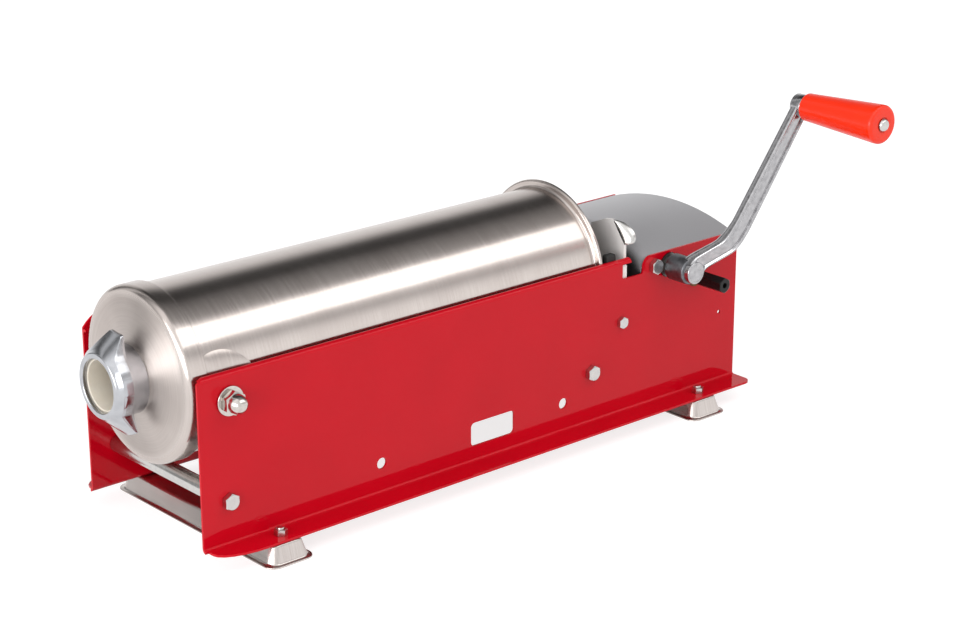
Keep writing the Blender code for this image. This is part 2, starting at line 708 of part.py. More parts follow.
def cross_plate(parent, finish):
    """The plate behind the cylinder: folded side flanges, two ears with rolled lobes and the rack's slot."""
    edge = HEM_WIDTH + GAP
    low, high = SHEET + GAP, FAR_WEB - GAP
    step = PANEL_HEIGHT + EAR_STEP_RISE
    half = [(low, PLATE_BOTTOM), (low, PLATE_SHOULDER), (edge, PLATE_SHOULDER), (edge, step)]
    half += [(y, PANEL_HEIGHT + rise) for y, rise in (EAR_TOP, EAR_CREST, EAR_INNER)]
    inner, dip = EAR_INNER[1], EAR_INNER[1] - PLATE_DIP_RISE
    half += arc((EAR_INNER[0] + EAR_FILLET, PANEL_HEIGHT + inner), (EAR_FILLET, dip), 200, 270, 4)
    outline = half + [(FRAME_WIDTH - y, z) for y, z in reversed(half)]
    shape = bmesh.new()
    prism(shape, outline, PLATE_X, PLATE_X + PLATE_THICKNESS, along_x)
    plate = place("cradle_plate", shape, parent, (PLATE_X, MIDDLE, PLATE_BOTTOM), finish)
    overlap = PLATE_THICKNESS / 3
    flanges = bmesh.new()
    front_low = (TUBE_REAR + SIDE_FLANGE_BEHIND, PLATE_BOTTOM)
    rear_high = (PLATE_X + overlap, PANEL_HEIGHT - SIDE_FLANGE_DROP)
    front = rounded_box(front_low, rear_high, overlap, steps=1)
    prism(flanges, front, low, low + PLATE_THICKNESS, along_y)
    prism(flanges, front, high - PLATE_THICKNESS, high, along_y)
    combine(plate, flanges, "UNION")
    lobes = bmesh.new()
    slope = Vector((EAR_TOP[0] - edge, EAR_TOP[1] - EAR_STEP_RISE))
    length = slope.length
    slope.normalize()
    inward = Vector((slope.y, -slope.x)) * PLATE_THICKNESS
    rear = PLATE_X + PLATE_THICKNESS
    lobe = [(0, PLATE_X + overlap)]
    lobe += arc((length / 2, rear), (length / 2, LOBE_REACH), 180, 0, 10)
    lobe += [(length, PLATE_X + overlap)]
    for side in (0, 1):
        bottom = []
        top = []
        for run, x in lobe:
            for ring, shift in ((bottom, Vector((0, 0))), (top, inward)):
                spot = Vector((edge, step)) + slope * run + shift
                y = FRAME_WIDTH - spot.x if side else spot.x
                ring.append(lobes.verts.new((x, y, spot.y)))
        lobes.faces.new(bottom)
        lobes.faces.new(top)
        for index in range(len(lobe)):
            after = (index + 1) % len(lobe)
            lobes.faces.new((bottom[index], bottom[after], top[after], top[index]))
    combine(plate, lobes, "UNION")
    cuts = bmesh.new()
    room = SLOT_ROOM
    slot_low = (MIDDLE - RACK_WIDTH / 2 - room, RACK_TIPS - room)
    slot_high = (MIDDLE + RACK_WIDTH / 2 + room, RACK_TOP + room)
    reach = (PLATE_X - PLATE_THICKNESS, PLATE_X + 2 * PLATE_THICKNESS)
    prism(cuts, rounded_box(slot_low, slot_high, room), *reach, along_x)
    for y in guide_screws():
        hole = circle((y, guide_middle()), M6[2] + BOLT_CLEARANCE, SMALL)
        prism(cuts, hole, *reach, along_x)
    for y in (low, high):
        hole = circle(PLATE_FIXING, M6[2] + BOLT_CLEARANCE, SMALL)
        prism(cuts, hole, y - 2 * PLATE_THICKNESS, y + 2 * PLATE_THICKNESS, along_y)
    combine(plate, cuts, "DIFFERENCE")
    return plate


def guide_middle():
    """Height of the rack guide's screws, level with the middle of the rack."""
    return (RACK_TIPS + RACK_TOP) / 2


def guide_screws():
    """Places across the frame of the two screws that hold the rack guide to the plate."""
    return (MIDDLE - GUIDE_SCREW_SPREAD, MIDDLE + GUIDE_SCREW_SPREAD)


def rack_guide(parent, finish, steel):
    """A channel over the rack that keeps it down on its pinion, with a flange on the plate."""
    front = PLATE_X + PLATE_THICKNESS + GAP
    half_slot = RACK_WIDTH / 2 + GAP
    half_wall = half_slot + GUIDE_WALL
    slot_top = RACK_TOP + GAP
    top = slot_top + GUIDE_WALL
    skirt = FAST_AXIS[1] + PINION_RADIUS + ADDENDUM * RACK_MODULE + GUIDE_OVER_PINION
    outline = [(MIDDLE - half_wall, skirt), (MIDDLE - half_slot, skirt), (MIDDLE - half_slot, slot_top)]
    outline += [(2 * MIDDLE - a, b) for a, b in reversed(outline)]
    outline += [(MIDDLE + half_wall, top), (MIDDLE - half_wall, top)]
    shape = bmesh.new()
    prism(shape, outline, front, PANEL_LENGTH - GUIDE_INSET, along_x)
    guide = place("rack_guide", shape, parent, (front, MIDDLE, guide_middle()), finish)
    flange = bmesh.new()
    reach = GUIDE_SCREW_SPREAD + GUIDE_FLANGE / 2 - M6[2]
    low = (MIDDLE - reach, RACK_TIPS - GAP - GUIDE_WALL)
    high = (MIDDLE + reach, top + GUIDE_WALL)
    prism(flange, rounded_box(low, high, GUIDE_WALL), front, front + GUIDE_WALL, along_x)
    combine(guide, flange, "UNION")
    cuts = bmesh.new()
    slot = ((MIDDLE - half_slot, RACK_TIPS - GAP), (MIDDLE + half_slot, slot_top))
    prism(cuts, rounded_box(*slot, GAP, steps=1), front - GAP, front + 2 * GUIDE_WALL, along_x)
    for y in guide_screws():
        hole = circle((y, guide_middle()), M6[2] + BOLT_CLEARANCE, SMALL)
        prism(cuts, hole, front - GUIDE_WALL, front + 2 * GUIDE_WALL, along_x)
    combine(guide, cuts, "DIFFERENCE")
    radius, head = GUIDE_SCREW_HEAD
    seat = front + GUIDE_WALL + GAP
    for name, y in zip(("near", "far"), guide_screws()):
        screw = bmesh.new()
        profile = (
            (0, seat + head),
            (radius * DOMED_SHARE, seat + head),
            (radius, seat + head / 2),
            (radius, seat),
            (M6[2], seat),
            (M6[2], PLATE_X + GAP),
            (0, PLATE_X + GAP),
        )
        turned(screw, profile, SMALL, (y, guide_middle()), along_x)
        place(f"guide_screw_{name}", screw, parent, (seat, y, guide_middle()), steel)
    return guide


def cylinder_tube(parent, finish):
    """The brushed tube, its rear edge rolled outward into a thick rim."""
    front = CAP_INSIDE + GAP
    roll = RIM_DEPTH / 2
    crest = RIM_RADIUS - roll
    profile = [(BORE_RADIUS, front), (BORE_RADIUS, TUBE_REAR - RIM_DEPTH)]
    profile += [(BORE_RADIUS + roll / 2, TUBE_REAR - roll / 2), (BORE_RADIUS + 2 * roll, TUBE_REAR)]
    middle = TUBE_REAR - roll
    profile += [(r, x) for x, r in arc((middle, crest), roll, 0, 180, 6)]
    profile += [(TUBE_RADIUS + roll, TUBE_REAR - RIM_DEPTH), (TUBE_RADIUS, TUBE_REAR - RIM_DEPTH - roll)]
    profile += [(TUBE_RADIUS, front)]
    shape = bmesh.new()
    turned(shape, profile, FINE, (MIDDLE, AXIS_HEIGHT), along_x)
    return place("cylinder_tube", shape, parent, (front, MIDDLE, AXIS_HEIGHT), finish)


def front_cap(parent, finish):
    """The domed cap pressed over the tube, with the outlet neck."""
    skirt = TUBE_RADIUS + GAP
    outside = CAP_RADIUS
    corner = CAP_CORNER
    profile = [(NECK_BORE, NECK_END), (NECK_BORE, CAP_INSIDE - CAP_BULGE)]
    profile += [(NECK_RADIUS + CAP_FLAT, CAP_INSIDE - CAP_BULGE), (BORE_RADIUS, CAP_INSIDE)]
    profile += [(skirt, CAP_INSIDE), (skirt, CAP_SKIRT), (outside, CAP_SKIRT)]
    profile += [(r, x) for x, r in arc((CAP_FACE + corner, outside - corner), corner, 90, 180, 4)]
    fillet = NECK_FILLET
    profile += [(NECK_RADIUS + CAP_FLAT + fillet, CAP_FACE - CAP_BULGE)]
    root = CAP_FACE - CAP_BULGE - fillet
    profile += [(r, x) for x, r in arc((root, NECK_RADIUS + fillet), fillet, 0, -90, 3)]
    profile += [(NECK_RADIUS, NECK_END)]
    shape = bmesh.new()
    turned(shape, profile, FINE, (MIDDLE, AXIS_HEIGHT), along_x)
    return place("front_cap", shape, parent, (0, MIDDLE, AXIS_HEIGHT), finish, sharp=35)


def pivot(parent, side, outside, inward, steel, bright):
    """A pad on the tube, the stud welded to it, and the washer and dome nut outside the panel."""
    shell = bmesh.new()
    low, high = TUBE_RADIUS + GAP, TUBE_RADIUS + GAP + PAD_THICKNESS
    start = CAP_SKIRT + GAP
    end = PIVOT_X + PAD_RADIUS + SHEET
    wall = ((low, start), (low, end), (high, end), (high, start))
    turned(shell, wall, FINE, (MIDDLE, AXIS_HEIGHT), along_x)
    pad = place(f"pivot_pad_{side}", shell, parent, (PIVOT_X, MIDDLE, AXIS_HEIGHT), steel)
    disc = bmesh.new()
    reach = outside + inward * (MIDDLE - BORE_RADIUS / 2)
    prism(disc, circle((PIVOT_X, PIVOT_Z), PAD_RADIUS, ROUND + SMALL), outside, reach, along_y)
    combine(pad, disc, "INTERSECT")
    web = outside + inward * (SHEET + GAP)
    seat = outside + inward * (MIDDLE - high - GAP)
    washer_radius, washer = WASHER
    flats, hex_height, height = DOME_NUT
    face = outside - inward * GAP
    nut_seat = face - inward * (washer + GAP)
    tip = nut_seat - inward * height * STUD_SHARE
    stud = bmesh.new()
    profile = (
        (0, seat),
        (PIVOT_BOSS, seat),
        (PIVOT_BOSS, web),
        (PIVOT_RADIUS, web),
        (PIVOT_RADIUS, tip),
        (0, tip),
    )
    turned(stud, profile, ROUND, (PIVOT_X, PIVOT_Z), along_y)
    place(f"pivot_stud_{side}", stud, parent, (PIVOT_X, outside, PIVOT_Z), steel)
    bore = PIVOT_RADIUS + BOLT_CLEARANCE
    ring = bmesh.new()
    back = face - inward * washer
    turned(
        ring,
        ((bore, face), (washer_radius, face), (washer_radius, back), (bore, back)),
        ROUND,
        (PIVOT_X, PIVOT_Z),
        along_y,
    )
    place(f"pivot_washer_{side}", ring, parent, (PIVOT_X, face, PIVOT_Z), bright)
    nut = bmesh.new()
    corner = corner_radius(flats)
    hex_top = nut_seat - inward * hex_height
    dome_start = hex_top - inward * DOME_SHOULDER
    dome_end = nut_seat - inward * height
    floor = tip - inward * GAP
    profile = [(0, floor), (bore, floor), (bore, nut_seat)]
    profile += [(corner, nut_seat, "hex"), (corner, hex_top, "hex")]
    profile += arc((0, dome_start), (flats / 2 * DOME_SHARE, dome_end - dome_start), 0, 90, 5)[:-1]
    profile.append((0, dome_end))
    turned(nut, profile, ROUND, (PIVOT_X, PIVOT_Z), along_y)
    place(f"dome_nut_{side}", nut, parent, (PIVOT_X, nut_seat, PIVOT_Z), bright)


def ring_nut(parent, finish):
    """The winged nut on the outlet: a cone nosed ring with two lugs swept back from its front."""
    bore = NECK_RADIUS + GAP
    chamfer = ROD_CHAMFER
    lip_back = NUT_FRONT + NUT_LIP
    shoulder = NUT_FRONT + NUT_NOSE_LENGTH
    collar = NUT_BACK - NUT_COLLAR_LENGTH
    profile = [(NECK_BORE, NUT_FRONT + chamfer), (NECK_BORE, lip_back), (bore, lip_back), (bore, NUT_BACK)]
    profile += [(NUT_COLLAR - chamfer, NUT_BACK), (NUT_COLLAR, NUT_BACK - chamfer), (NUT_COLLAR, collar)]
    profile += [(NUT_RADIUS, collar - 2 * chamfer), (NUT_RADIUS, shoulder), (NUT_NOSE, NUT_FRONT + chamfer)]
    profile += [(NUT_NOSE - chamfer, NUT_FRONT), (NECK_BORE + chamfer, NUT_FRONT)]
    shape = bmesh.new()
    centre = (MIDDLE, AXIS_HEIGHT)
    turned(shape, profile, FINE, centre, along_x)
    nut = place("ring_nut", shape, parent, (NUT_FRONT, *centre), finish)
    wings = bmesh.new()
    root = (NECK_RADIUS + NUT_RADIUS) / 2 - 2 * chamfer
    front_root, front_waist, front_tip = (NUT_FRONT + sweep for sweep in WING_SWEEP)
    stations = (
        (root, WING_ROOT / 2, front_root, collar - WING_BACK[0]),
        (WING_WAIST_AT, WING_WAIST / 2, front_waist, collar + WING_BACK[1]),
        (WING_REACH - 2 * chamfer, WING_TIP / 2, front_tip, collar + WING_BACK[2]),
        (WING_REACH, WING_TIP / 2 - 2 * chamfer, front_tip + chamfer, collar + WING_BACK[2] - chamfer),
    )
    for turn in (WING_LEANS[0], WING_LEANS[1] + math.pi):
        outward = Vector((math.sin(turn), math.cos(turn)))
        sideways = Vector((outward.y, -outward.x))
        sections = []
        for reach, half, front, back in stations:
            ring = []
            for side, x in ((-1, front), (1, front), (1, back), (-1, back)):
                spot = Vector(centre) + outward * reach + sideways * side * half
                ring.append(wings.verts.new((x, spot.x, spot.y)))
            sections.append(ring)
        loft(wings, sections)
    combine(nut, wings, "UNION")
    return nut


def outlet_liner(parent, finish):
    """The plastic sleeve in the neck, its flange held under the ring nut's lip."""
    outside = NECK_BORE - GAP
    inside = outside - LINER_WALL
    front = NUT_FRONT + NUT_LIP + GAP
    seat = front + LINER_FLANGE
    end = NECK_END + LINER_LENGTH
    profile = (
        (inside, front),
        (inside, end),
        (outside, end),
        (outside, seat),
        (NECK_RADIUS - GAP, seat),
        (NECK_RADIUS - GAP, front),
    )
    shape = bmesh.new()
    turned(shape, profile, FINE, (MIDDLE, AXIS_HEIGHT), along_x)
    return place("outlet_liner", shape, parent, (front, MIDDLE, AXIS_HEIGHT), finish)


def piston(parent, plastic, rubber, steel, bright):
    """The plastic piston, its seal, the backing plate and the bolt into the rack."""
    radius = BORE_RADIUS - PISTON_CLEARANCE
    groove_floor = radius - SEAL_DEPTH
    middle = (PISTON_FRONT + PISTON_BACK) / 2
    groove = (middle - SEAL_WIDTH / 2, middle + SEAL_WIDTH / 2)
    head_radius, head = PISTON_BOLT_HEAD
    shank = M8[2]
    bore = shank + BOLT_CLEARANCE
    edge = PISTON_EDGE
    floor = PISTON_FRONT + head + edge
    centre = (MIDDLE, AXIS_HEIGHT)
    profile = (
        (bore, floor),
        (head_radius + 2 * GAP, floor),
        (head_radius + 2 * GAP, PISTON_FRONT),
        (radius - edge, PISTON_FRONT),
        (radius, PISTON_FRONT + edge),
        (radius, groove[0]),
        (groove_floor, groove[0]),
        (groove_floor, groove[1]),
        (radius, groove[1]),
        (radius, PISTON_BACK - edge),
        (radius - edge, PISTON_BACK),
        (bore, PISTON_BACK),
    )
    shape = bmesh.new()
    turned(shape, profile, FINE, centre, along_x)
    place("piston", shape, parent, (PISTON_FRONT, *centre), plastic)
    shape = bmesh.new()
    low, high = groove[0] + GAP, groove[1] - GAP
    lip = BORE_RADIUS - GAP
    profile = (
        (groove_floor + GAP, low),
        (lip - edge / 2, low),
        (lip, low + edge),
        (lip, high - edge),
        (lip - edge / 2, high),
        (groove_floor + GAP, high),
    )
    turned(shape, profile, FINE, centre, along_x)
    place("piston_seal", shape, parent, (low, *centre), rubber)
    shape = bmesh.new()
    low, high = PISTON_BACK + GAP, PISTON_BACK + GAP + BACKING_THICKNESS
    outer = BORE_RADIUS - BACKING_SETBACK
    profile = ((bore, low), (outer, low), (outer, high), (bore, high))
    turned(shape, profile, FINE // 2, centre, along_x)
    place("piston_backing", shape, parent, (low, *centre), steel)
    shape = bmesh.new()
    end = RACK_FRONT + BOLT_IN_ROD
    top = floor - GAP - head
    profile = (
        (0, top),
        (head_radius - edge, top),
        (head_radius, top + edge),
        (head_radius, floor - GAP),
        (shank, floor - GAP),
        (shank, end),
        (0, end),
    )
    turned(shape, profile, ROUND, centre, along_x)
    place("piston_bolt", shape, parent, (PISTON_FRONT, *centre), bright)


def rack(parent, finish):
    """The square bar with teeth cut in its underside, in mesh with the pinion at rest."""
    pitch = math.pi * RACK_MODULE
    slope = math.tan(PRESSURE_ANGLE)
    tip_half = (pitch / 2 - TOOTH_THINNING) / 2 - ADDENDUM * RACK_MODULE * slope
    root_half = (pitch / 2 - TOOTH_THINNING) / 2 + DEDENDUM * RACK_MODULE * slope
    outline = [(RACK_FRONT, RACK_TOP), (RACK_FRONT, RACK_TIPS)]
    first = math.ceil((RACK_TOOTHED_FROM - FAST_AXIS[0]) / pitch - 0.5) + 0.5
    centre = FAST_AXIS[0] + first * pitch
    outline += [(centre - pitch + tip_half, RACK_TIPS), (centre - pitch + root_half, RACK_ROOTS)]
    while centre + root_half < RACK_REAR:
        outline += [(centre - root_half, RACK_ROOTS), (centre - tip_half, RACK_TIPS)]
        outline += [(centre + tip_half, RACK_TIPS), (centre + root_half, RACK_ROOTS)]
        centre += pitch
    outline += [(RACK_REAR, RACK_ROOTS), (RACK_REAR, RACK_TOP)]
    low, high = MIDDLE - RACK_WIDTH / 2, MIDDLE + RACK_WIDTH / 2
    shape = bmesh.new()
    prism(shape, outline, low, high, along_y)
    made = place("rack", shape, parent, (RACK_FRONT, MIDDLE, RACK_PITCH_LINE), finish)
    hole = bmesh.new()
    deep = RACK_FRONT + BOLT_IN_ROD + RACK_HOLE_ROOM
    bore = circle((MIDDLE, AXIS_HEIGHT), M8[2] + BOLT_CLEARANCE, ROUND)
    prism(hole, bore, RACK_FRONT - RACK_HOLE_ROOM, deep, along_x)
    combine(made, hole, "DIFFERENCE")
    return made


def drive_shaft(name, parent, centre, hex_end, far_end, finish):
    """A round shaft with a hexagon end for the crank and a centre hole."""
    corner = corner_radius(HEX_FLATS)
    hole, depth = CENTRE_HOLE
    chamfer = SHAFT_CHAMFER
    shape = bmesh.new()
    profile = (
        (0, hex_end + depth),
        (hole, hex_end + depth),
        (hole, hex_end),
        (corner - chamfer, hex_end, "hex"),
        (corner, hex_end + chamfer, "hex"),
        (corner, HEX_STOP, "hex"),
        (SHAFT_RADIUS, HEX_STOP + chamfer),
        (SHAFT_RADIUS, far_end - chamfer),
        (SHAFT_RADIUS - chamfer, far_end),
        (0, far_end),
    )
    turned(shape, profile, ROUND, centre, along_y)
    return place(name, shape, parent, (centre[0], 0, centre[1]), finish)


def retaining_ring(name, parent, centre, low, finish):
    """A ring that keeps a shaft from sliding out of its bearing."""
    inner, outer = BUSH_BORE, BUSH_BORE + RING_WIDTH
    high = low + RING_THICKNESS
    shape = bmesh.new()
    turned(shape, ((inner, low), (outer, low), (outer, high), (inner, high)), ROUND, centre, along_y)
    return place(name, shape, parent, (centre[0], low, centre[1]), finish)


def flanged_bush(name, parent, outside, inward, finish):
    """A bush of the fast shaft, its flange inside the panel."""
    inner = BUSH_BORE
    sleeve = inner + BUSH_WALL
    web = outside + inward * (SHEET + GAP)
    flange = web + inward * BUSH_WALL
    outer_face = outside - inward * BUSH_PROUD
    profile = ((inner, outer_face), (sleeve, outer_face), (sleeve, web), (BUSH_FLANGE, web))
    profile += ((BUSH_FLANGE, flange), (inner, flange))
    shape = bmesh.new()
    turned(shape, profile, ROUND, FAST_AXIS, along_y)
    return place(name, shape, parent, (FAST_AXIS[0], web, FAST_AXIS[1]), finish)


def slow_bearing(parent, finish):
    """The bearing of the short crank shaft: a sleeve on a square flange inside the near panel."""
    inner = BUSH_BORE
    web = SHEET + GAP
    outer_face = -BUSH_PROUD
    end = GEAR_NEAR - BEARING_ROOM
    flange = web + BUSH_WALL
    half = SLOW_BEARING_RADIUS - GAP
    shape = bmesh.new()
    profile = ((inner, outer_face), (half, outer_face), (half, end), (inner, end))
    turned(shape, profile, ROUND, SLOW_AXIS, along_y)
    bearing = place("slow_bearing", shape, parent, (SLOW_AXIS[0], web, SLOW_AXIS[1]), finish)
    plate = bmesh.new()
    left = HOOD_TAB_REAR + 2 * GAP
    low = (left, SLOW_AXIS[1] - BEARING_BELOW)
    high = (2 * SLOW_AXIS[0] - left, HOOD_EDGE - GAP)
    prism(plate, rounded_box(low, high, BEARING_CORNER, steps=2), web, flange, along_y)
    combine(bearing, plate, "UNION")
    bore = bmesh.new()
    prism(bore, circle(SLOW_AXIS, inner, ROUND), outer_face - SHEET, end + SHEET, along_y)
    combine(bearing, bore, "DIFFERENCE")
    return bearing


def crown(y):
    """Height of the hood's outside at a place across the frame, along one arc."""
    half = INSIDE_WIDTH / 2 - GAP
    radius = (half * half + HOOD_RISE * HOOD_RISE) / (2 * HOOD_RISE)
    return HOOD_CROWN_START + HOOD_RISE - radius + math.sqrt(radius * radius - (y - MIDDLE) ** 2)


def gear_hood(parent, finish):
    """The arched sheet over the gears, rounded down at its front and tabbed at both sides."""
    steps_across = 14
    steps_round = 5
    low, high = SHEET + GAP, FAR_WEB - GAP
    shape = bmesh.new()
    columns = []
    for step in range(steps_across + 1):
        y = low + (high - low) * step / steps_across
        top = crown(y)
        side = [(HOOD_REAR, top)]
        side += arc((HOOD_FRONT + HOOD_ROUND, top - HOOD_ROUND), HOOD_ROUND, 90, 180, steps_round)
        side += [(HOOD_FRONT, HOOD_TAB_BOTTOM)]
        columns.append([shape.verts.new((x, y, z)) for x, z in side])
    for first, second in zip(columns, columns[1:]):
        for index in range(len(first) - 1):
            shape.faces.new((first[index], first[index + 1], second[index + 1], second[index]))
    for column in (columns[0], columns[-1]):
        y = column[0].co.y
        skirt = [(HOOD_TAB_REAR, HOOD_TAB_BOTTOM), (HOOD_TAB_REAR, HOOD_EDGE), (HOOD_REAR, HOOD_EDGE)]
        shape.faces.new(column + [shape.verts.new((x, y, z)) for x, z in skirt])
    hood = place("gear_hood", shape, parent, (HOOD_FRONT, MIDDLE, HOOD_EDGE), finish, sharp=50)
    wall = hood.modifiers.new("Sheet", "SOLIDIFY")
    wall.thickness = HOOD_SHEET
    wall.offset = -1
    wall.use_even_offset = True
    cuts = bmesh.new()
    room = HOOD_ROOM
    half = RACK_WIDTH / 2 + GAP + GUIDE_WALL + room
    slot_top = RACK_TOP + GUIDE_WALL + 2 * room
    slot = [(MIDDLE - half, HOOD_TAB_BOTTOM - room), (MIDDLE + half, HOOD_TAB_BOTTOM - room)]
    slot += [(MIDDLE + half, slot_top), (MIDDLE - half, slot_top)]
    prism(cuts, slot, HOOD_FRONT - room, HOOD_FRONT + HOOD_ROUND, along_x)
    hole = circle(HOOD_FIXING, M8[2] + BOLT_CLEARANCE, SMALL)
    prism(cuts, hole, low - room, low + 2 * room, along_y)
    prism(cuts, hole, high - 2 * room, high + room, along_y)
    combine(hood, cuts, "DIFFERENCE")
    return hood


def crank_point(reach, across=0.0):
    """A point of the crank in the plane of its swing: reach along the arm, across to its left."""
    cosine, sine = math.cos(CRANK_ANGLE), math.sin(CRANK_ANGLE)
    x = SLOW_AXIS[0] + reach * cosine - across * sine
    z = SLOW_AXIS[1] + reach * sine + across * cosine
    return (x, z)


def crank_arm(parent, finish):
    """The cast crank: a boss on the shaft's hexagon, an arm bent out at its elbow, and the grip's eye."""
    shape = bmesh.new()
    edge = CRANK_EDGE
    profile = (
        (0, CRANK_BACK),
        (HUB_RADIUS - edge, CRANK_BACK),
        (HUB_RADIUS, CRANK_BACK - edge),
        (HUB_RADIUS, CRANK_FACE + edge),
        (HUB_RADIUS - edge, CRANK_FACE),
        (0, CRANK_FACE),
    )
    turned(shape, profile, ROUND, SLOW_AXIS, along_y)
    crank = place("crank_arm", shape, parent, (SLOW_AXIS[0], CRANK_FACE, SLOW_AXIS[1]), finish)
    arm = bmesh.new()
    half = ARM_THICKNESS / 2
    start = CRANK_FACE + half + ARM_BEHIND_FACE
    wide, narrow = ARM_WIDTH[0] / 2, ARM_WIDTH[1] / 2
    stations = [(0.0, start, wide)]
    for reach_share, offset_share in ARM_ELBOW_SHARES:
        stations.append((ARM_ELBOW * reach_share, start + (ARM_OFFSET - start) * offset_share, wide))
    stations.append((CRANK_RADIUS, ARM_OFFSET, narrow))
    sections = []
    bead = ARM_BEAD
    for reach, depth, width in stations:
        front, back = depth - half, depth + half
        section = (
            (width - bead, front),
            (width, front + bead),
            (width, back - bead),
            (width - bead, back),
            (bead - width, back),
            (-width, back - bead),
            (-width, front + bead),
            (bead - width, front),
            (bead + ARM_RIB - width, front + ARM_RIB / 2),
            (width - bead - ARM_RIB, front + ARM_RIB / 2),
        )
        ring = []
        for across, y in section:
            x, z = crank_point(reach, across)
            ring.append(arm.verts.new((x, y, z)))
        sections.append(ring)
    loft(arm, sections)
    combine(crank, arm, "UNION")
    eye = bmesh.new()
    low, high = GRIP_START + GAP, ARM_OFFSET + half + ARM_BEHIND_FACE
    profile = (
        (0, low),
        (EYE_RADIUS - edge, low),
        (EYE_RADIUS, low + edge),
        (EYE_RADIUS, high - edge),
        (EYE_RADIUS - edge, high),
        (0, high),
    )
    turned(eye, profile, ROUND, GRIP_AXIS, along_y)
    combine(crank, eye, "UNION")
    cuts = bmesh.new()
    corner = corner_radius(HEX_FLATS) + GAP
    socket = ((0, SLOW_END - GAP), (corner, SLOW_END - GAP, "hex"), (corner, 0, "hex"), (0, 0))
    turned(cuts, socket, ROUND, SLOW_AXIS, along_y)
    hole = circle(GRIP_AXIS, GRIP_PIN[0] + GAP, SMALL)
    prism(cuts, hole, GRIP_START - SHEET, high + SHEET, along_y)
    combine(crank, cuts, "DIFFERENCE")
    return crank


def grip(parent, plastic):
    """The tapered grip, which turns on its pin."""
    small, large = GRIP_RADII
    bore = GRIP_PIN[0] + GAP
    low, high = GRIP_START, GRIP_END
    inset, edge, turn, neck = GRIP_NECK
    nose_edge, nose_turn, nose = GRIP_NOSE
    profile = [(bore, low), (small - inset, low), (small - edge, low - turn), (small, low - neck)]
    for share in (0.25, 0.5, 0.75):
        profile.append((small + (large - small) * share, low - neck + (high + nose - low + neck) * share))
    profile += [(large, high + nose), (large - nose_edge, high + nose_turn)]
    profile += [(large - nose, high), (bore, high)]
    shape = bmesh.new()
    turned(shape, profile, ROUND, GRIP_AXIS, along_y)
    return place("grip", shape, parent, (GRIP_AXIS[0], low, GRIP_AXIS[1]), plastic, sharp=50)


def grip_pin(parent, steel):
    """The pin through the grip, riveted in the crank's eye, with a round head outside."""
    shank, head_radius, head = GRIP_PIN
    seat = GRIP_END - GAP
    end = ARM_OFFSET + ARM_THICKNESS / 2
    shape = bmesh.new()
    profile = (
        (0, seat - head),
        (head_radius * PIN_SHARES[0], seat - head),
        (head_radius, seat - head * PIN_SHARES[1]),
        (head_radius, seat),
        (shank, seat),
        (shank, end),
        (0, end),
    )
    turned(shape, profile, ROUND, GRIP_AXIS, along_y)
    return place("grip_pin", shape, parent, (GRIP_AXIS[0], seat, GRIP_AXIS[1]), steel)


def buffer_block(name, parent, outside, inward, rubber):
    """A rubber block on the plate's side flange, just behind the cylinder's rim."""
    low = outside + inward * (SHEET + GAP + PLATE_THICKNESS + GAP)
    high = low + inward * BUFFER_WIDTH
    left, bottom = TUBE_REAR + BUFFER_BEHIND, PANEL_HEIGHT - BUFFER_BELOW
    right, top = left + BUFFER_LENGTH, PANEL_HEIGHT + BUFFER_ABOVE
    shape = bmesh.new()
    prism(shape, rounded_box((left, bottom), (right, top), BUFFER_ROUND, steps=2), low, high, along_y)
    return place(name, shape, parent, (left, low, bottom), rubber)


def settle(root):
    """Move the machine so that its origin lies under the middle of its box."""
    bpy.context.view_layer.update()
    graph = bpy.context.evaluated_depsgraph_get()
    low = Vector((math.inf, math.inf, math.inf))
    high = -low
    for item in bpy.data.objects:
        if item.type != "MESH" or item.hide_render:
            continue
        solid = item.evaluated_get(graph)
        for corner in solid.data.vertices:
            spot = solid.matrix_world @ corner.co
            low = Vector(map(min, low, spot))
            high = Vector(map(max, high, spot))
    root.location = Vector((-(low.x + high.x) / 2, -(low.y + high.y) / 2, -low.z))
    bpy.context.view_layer.update()


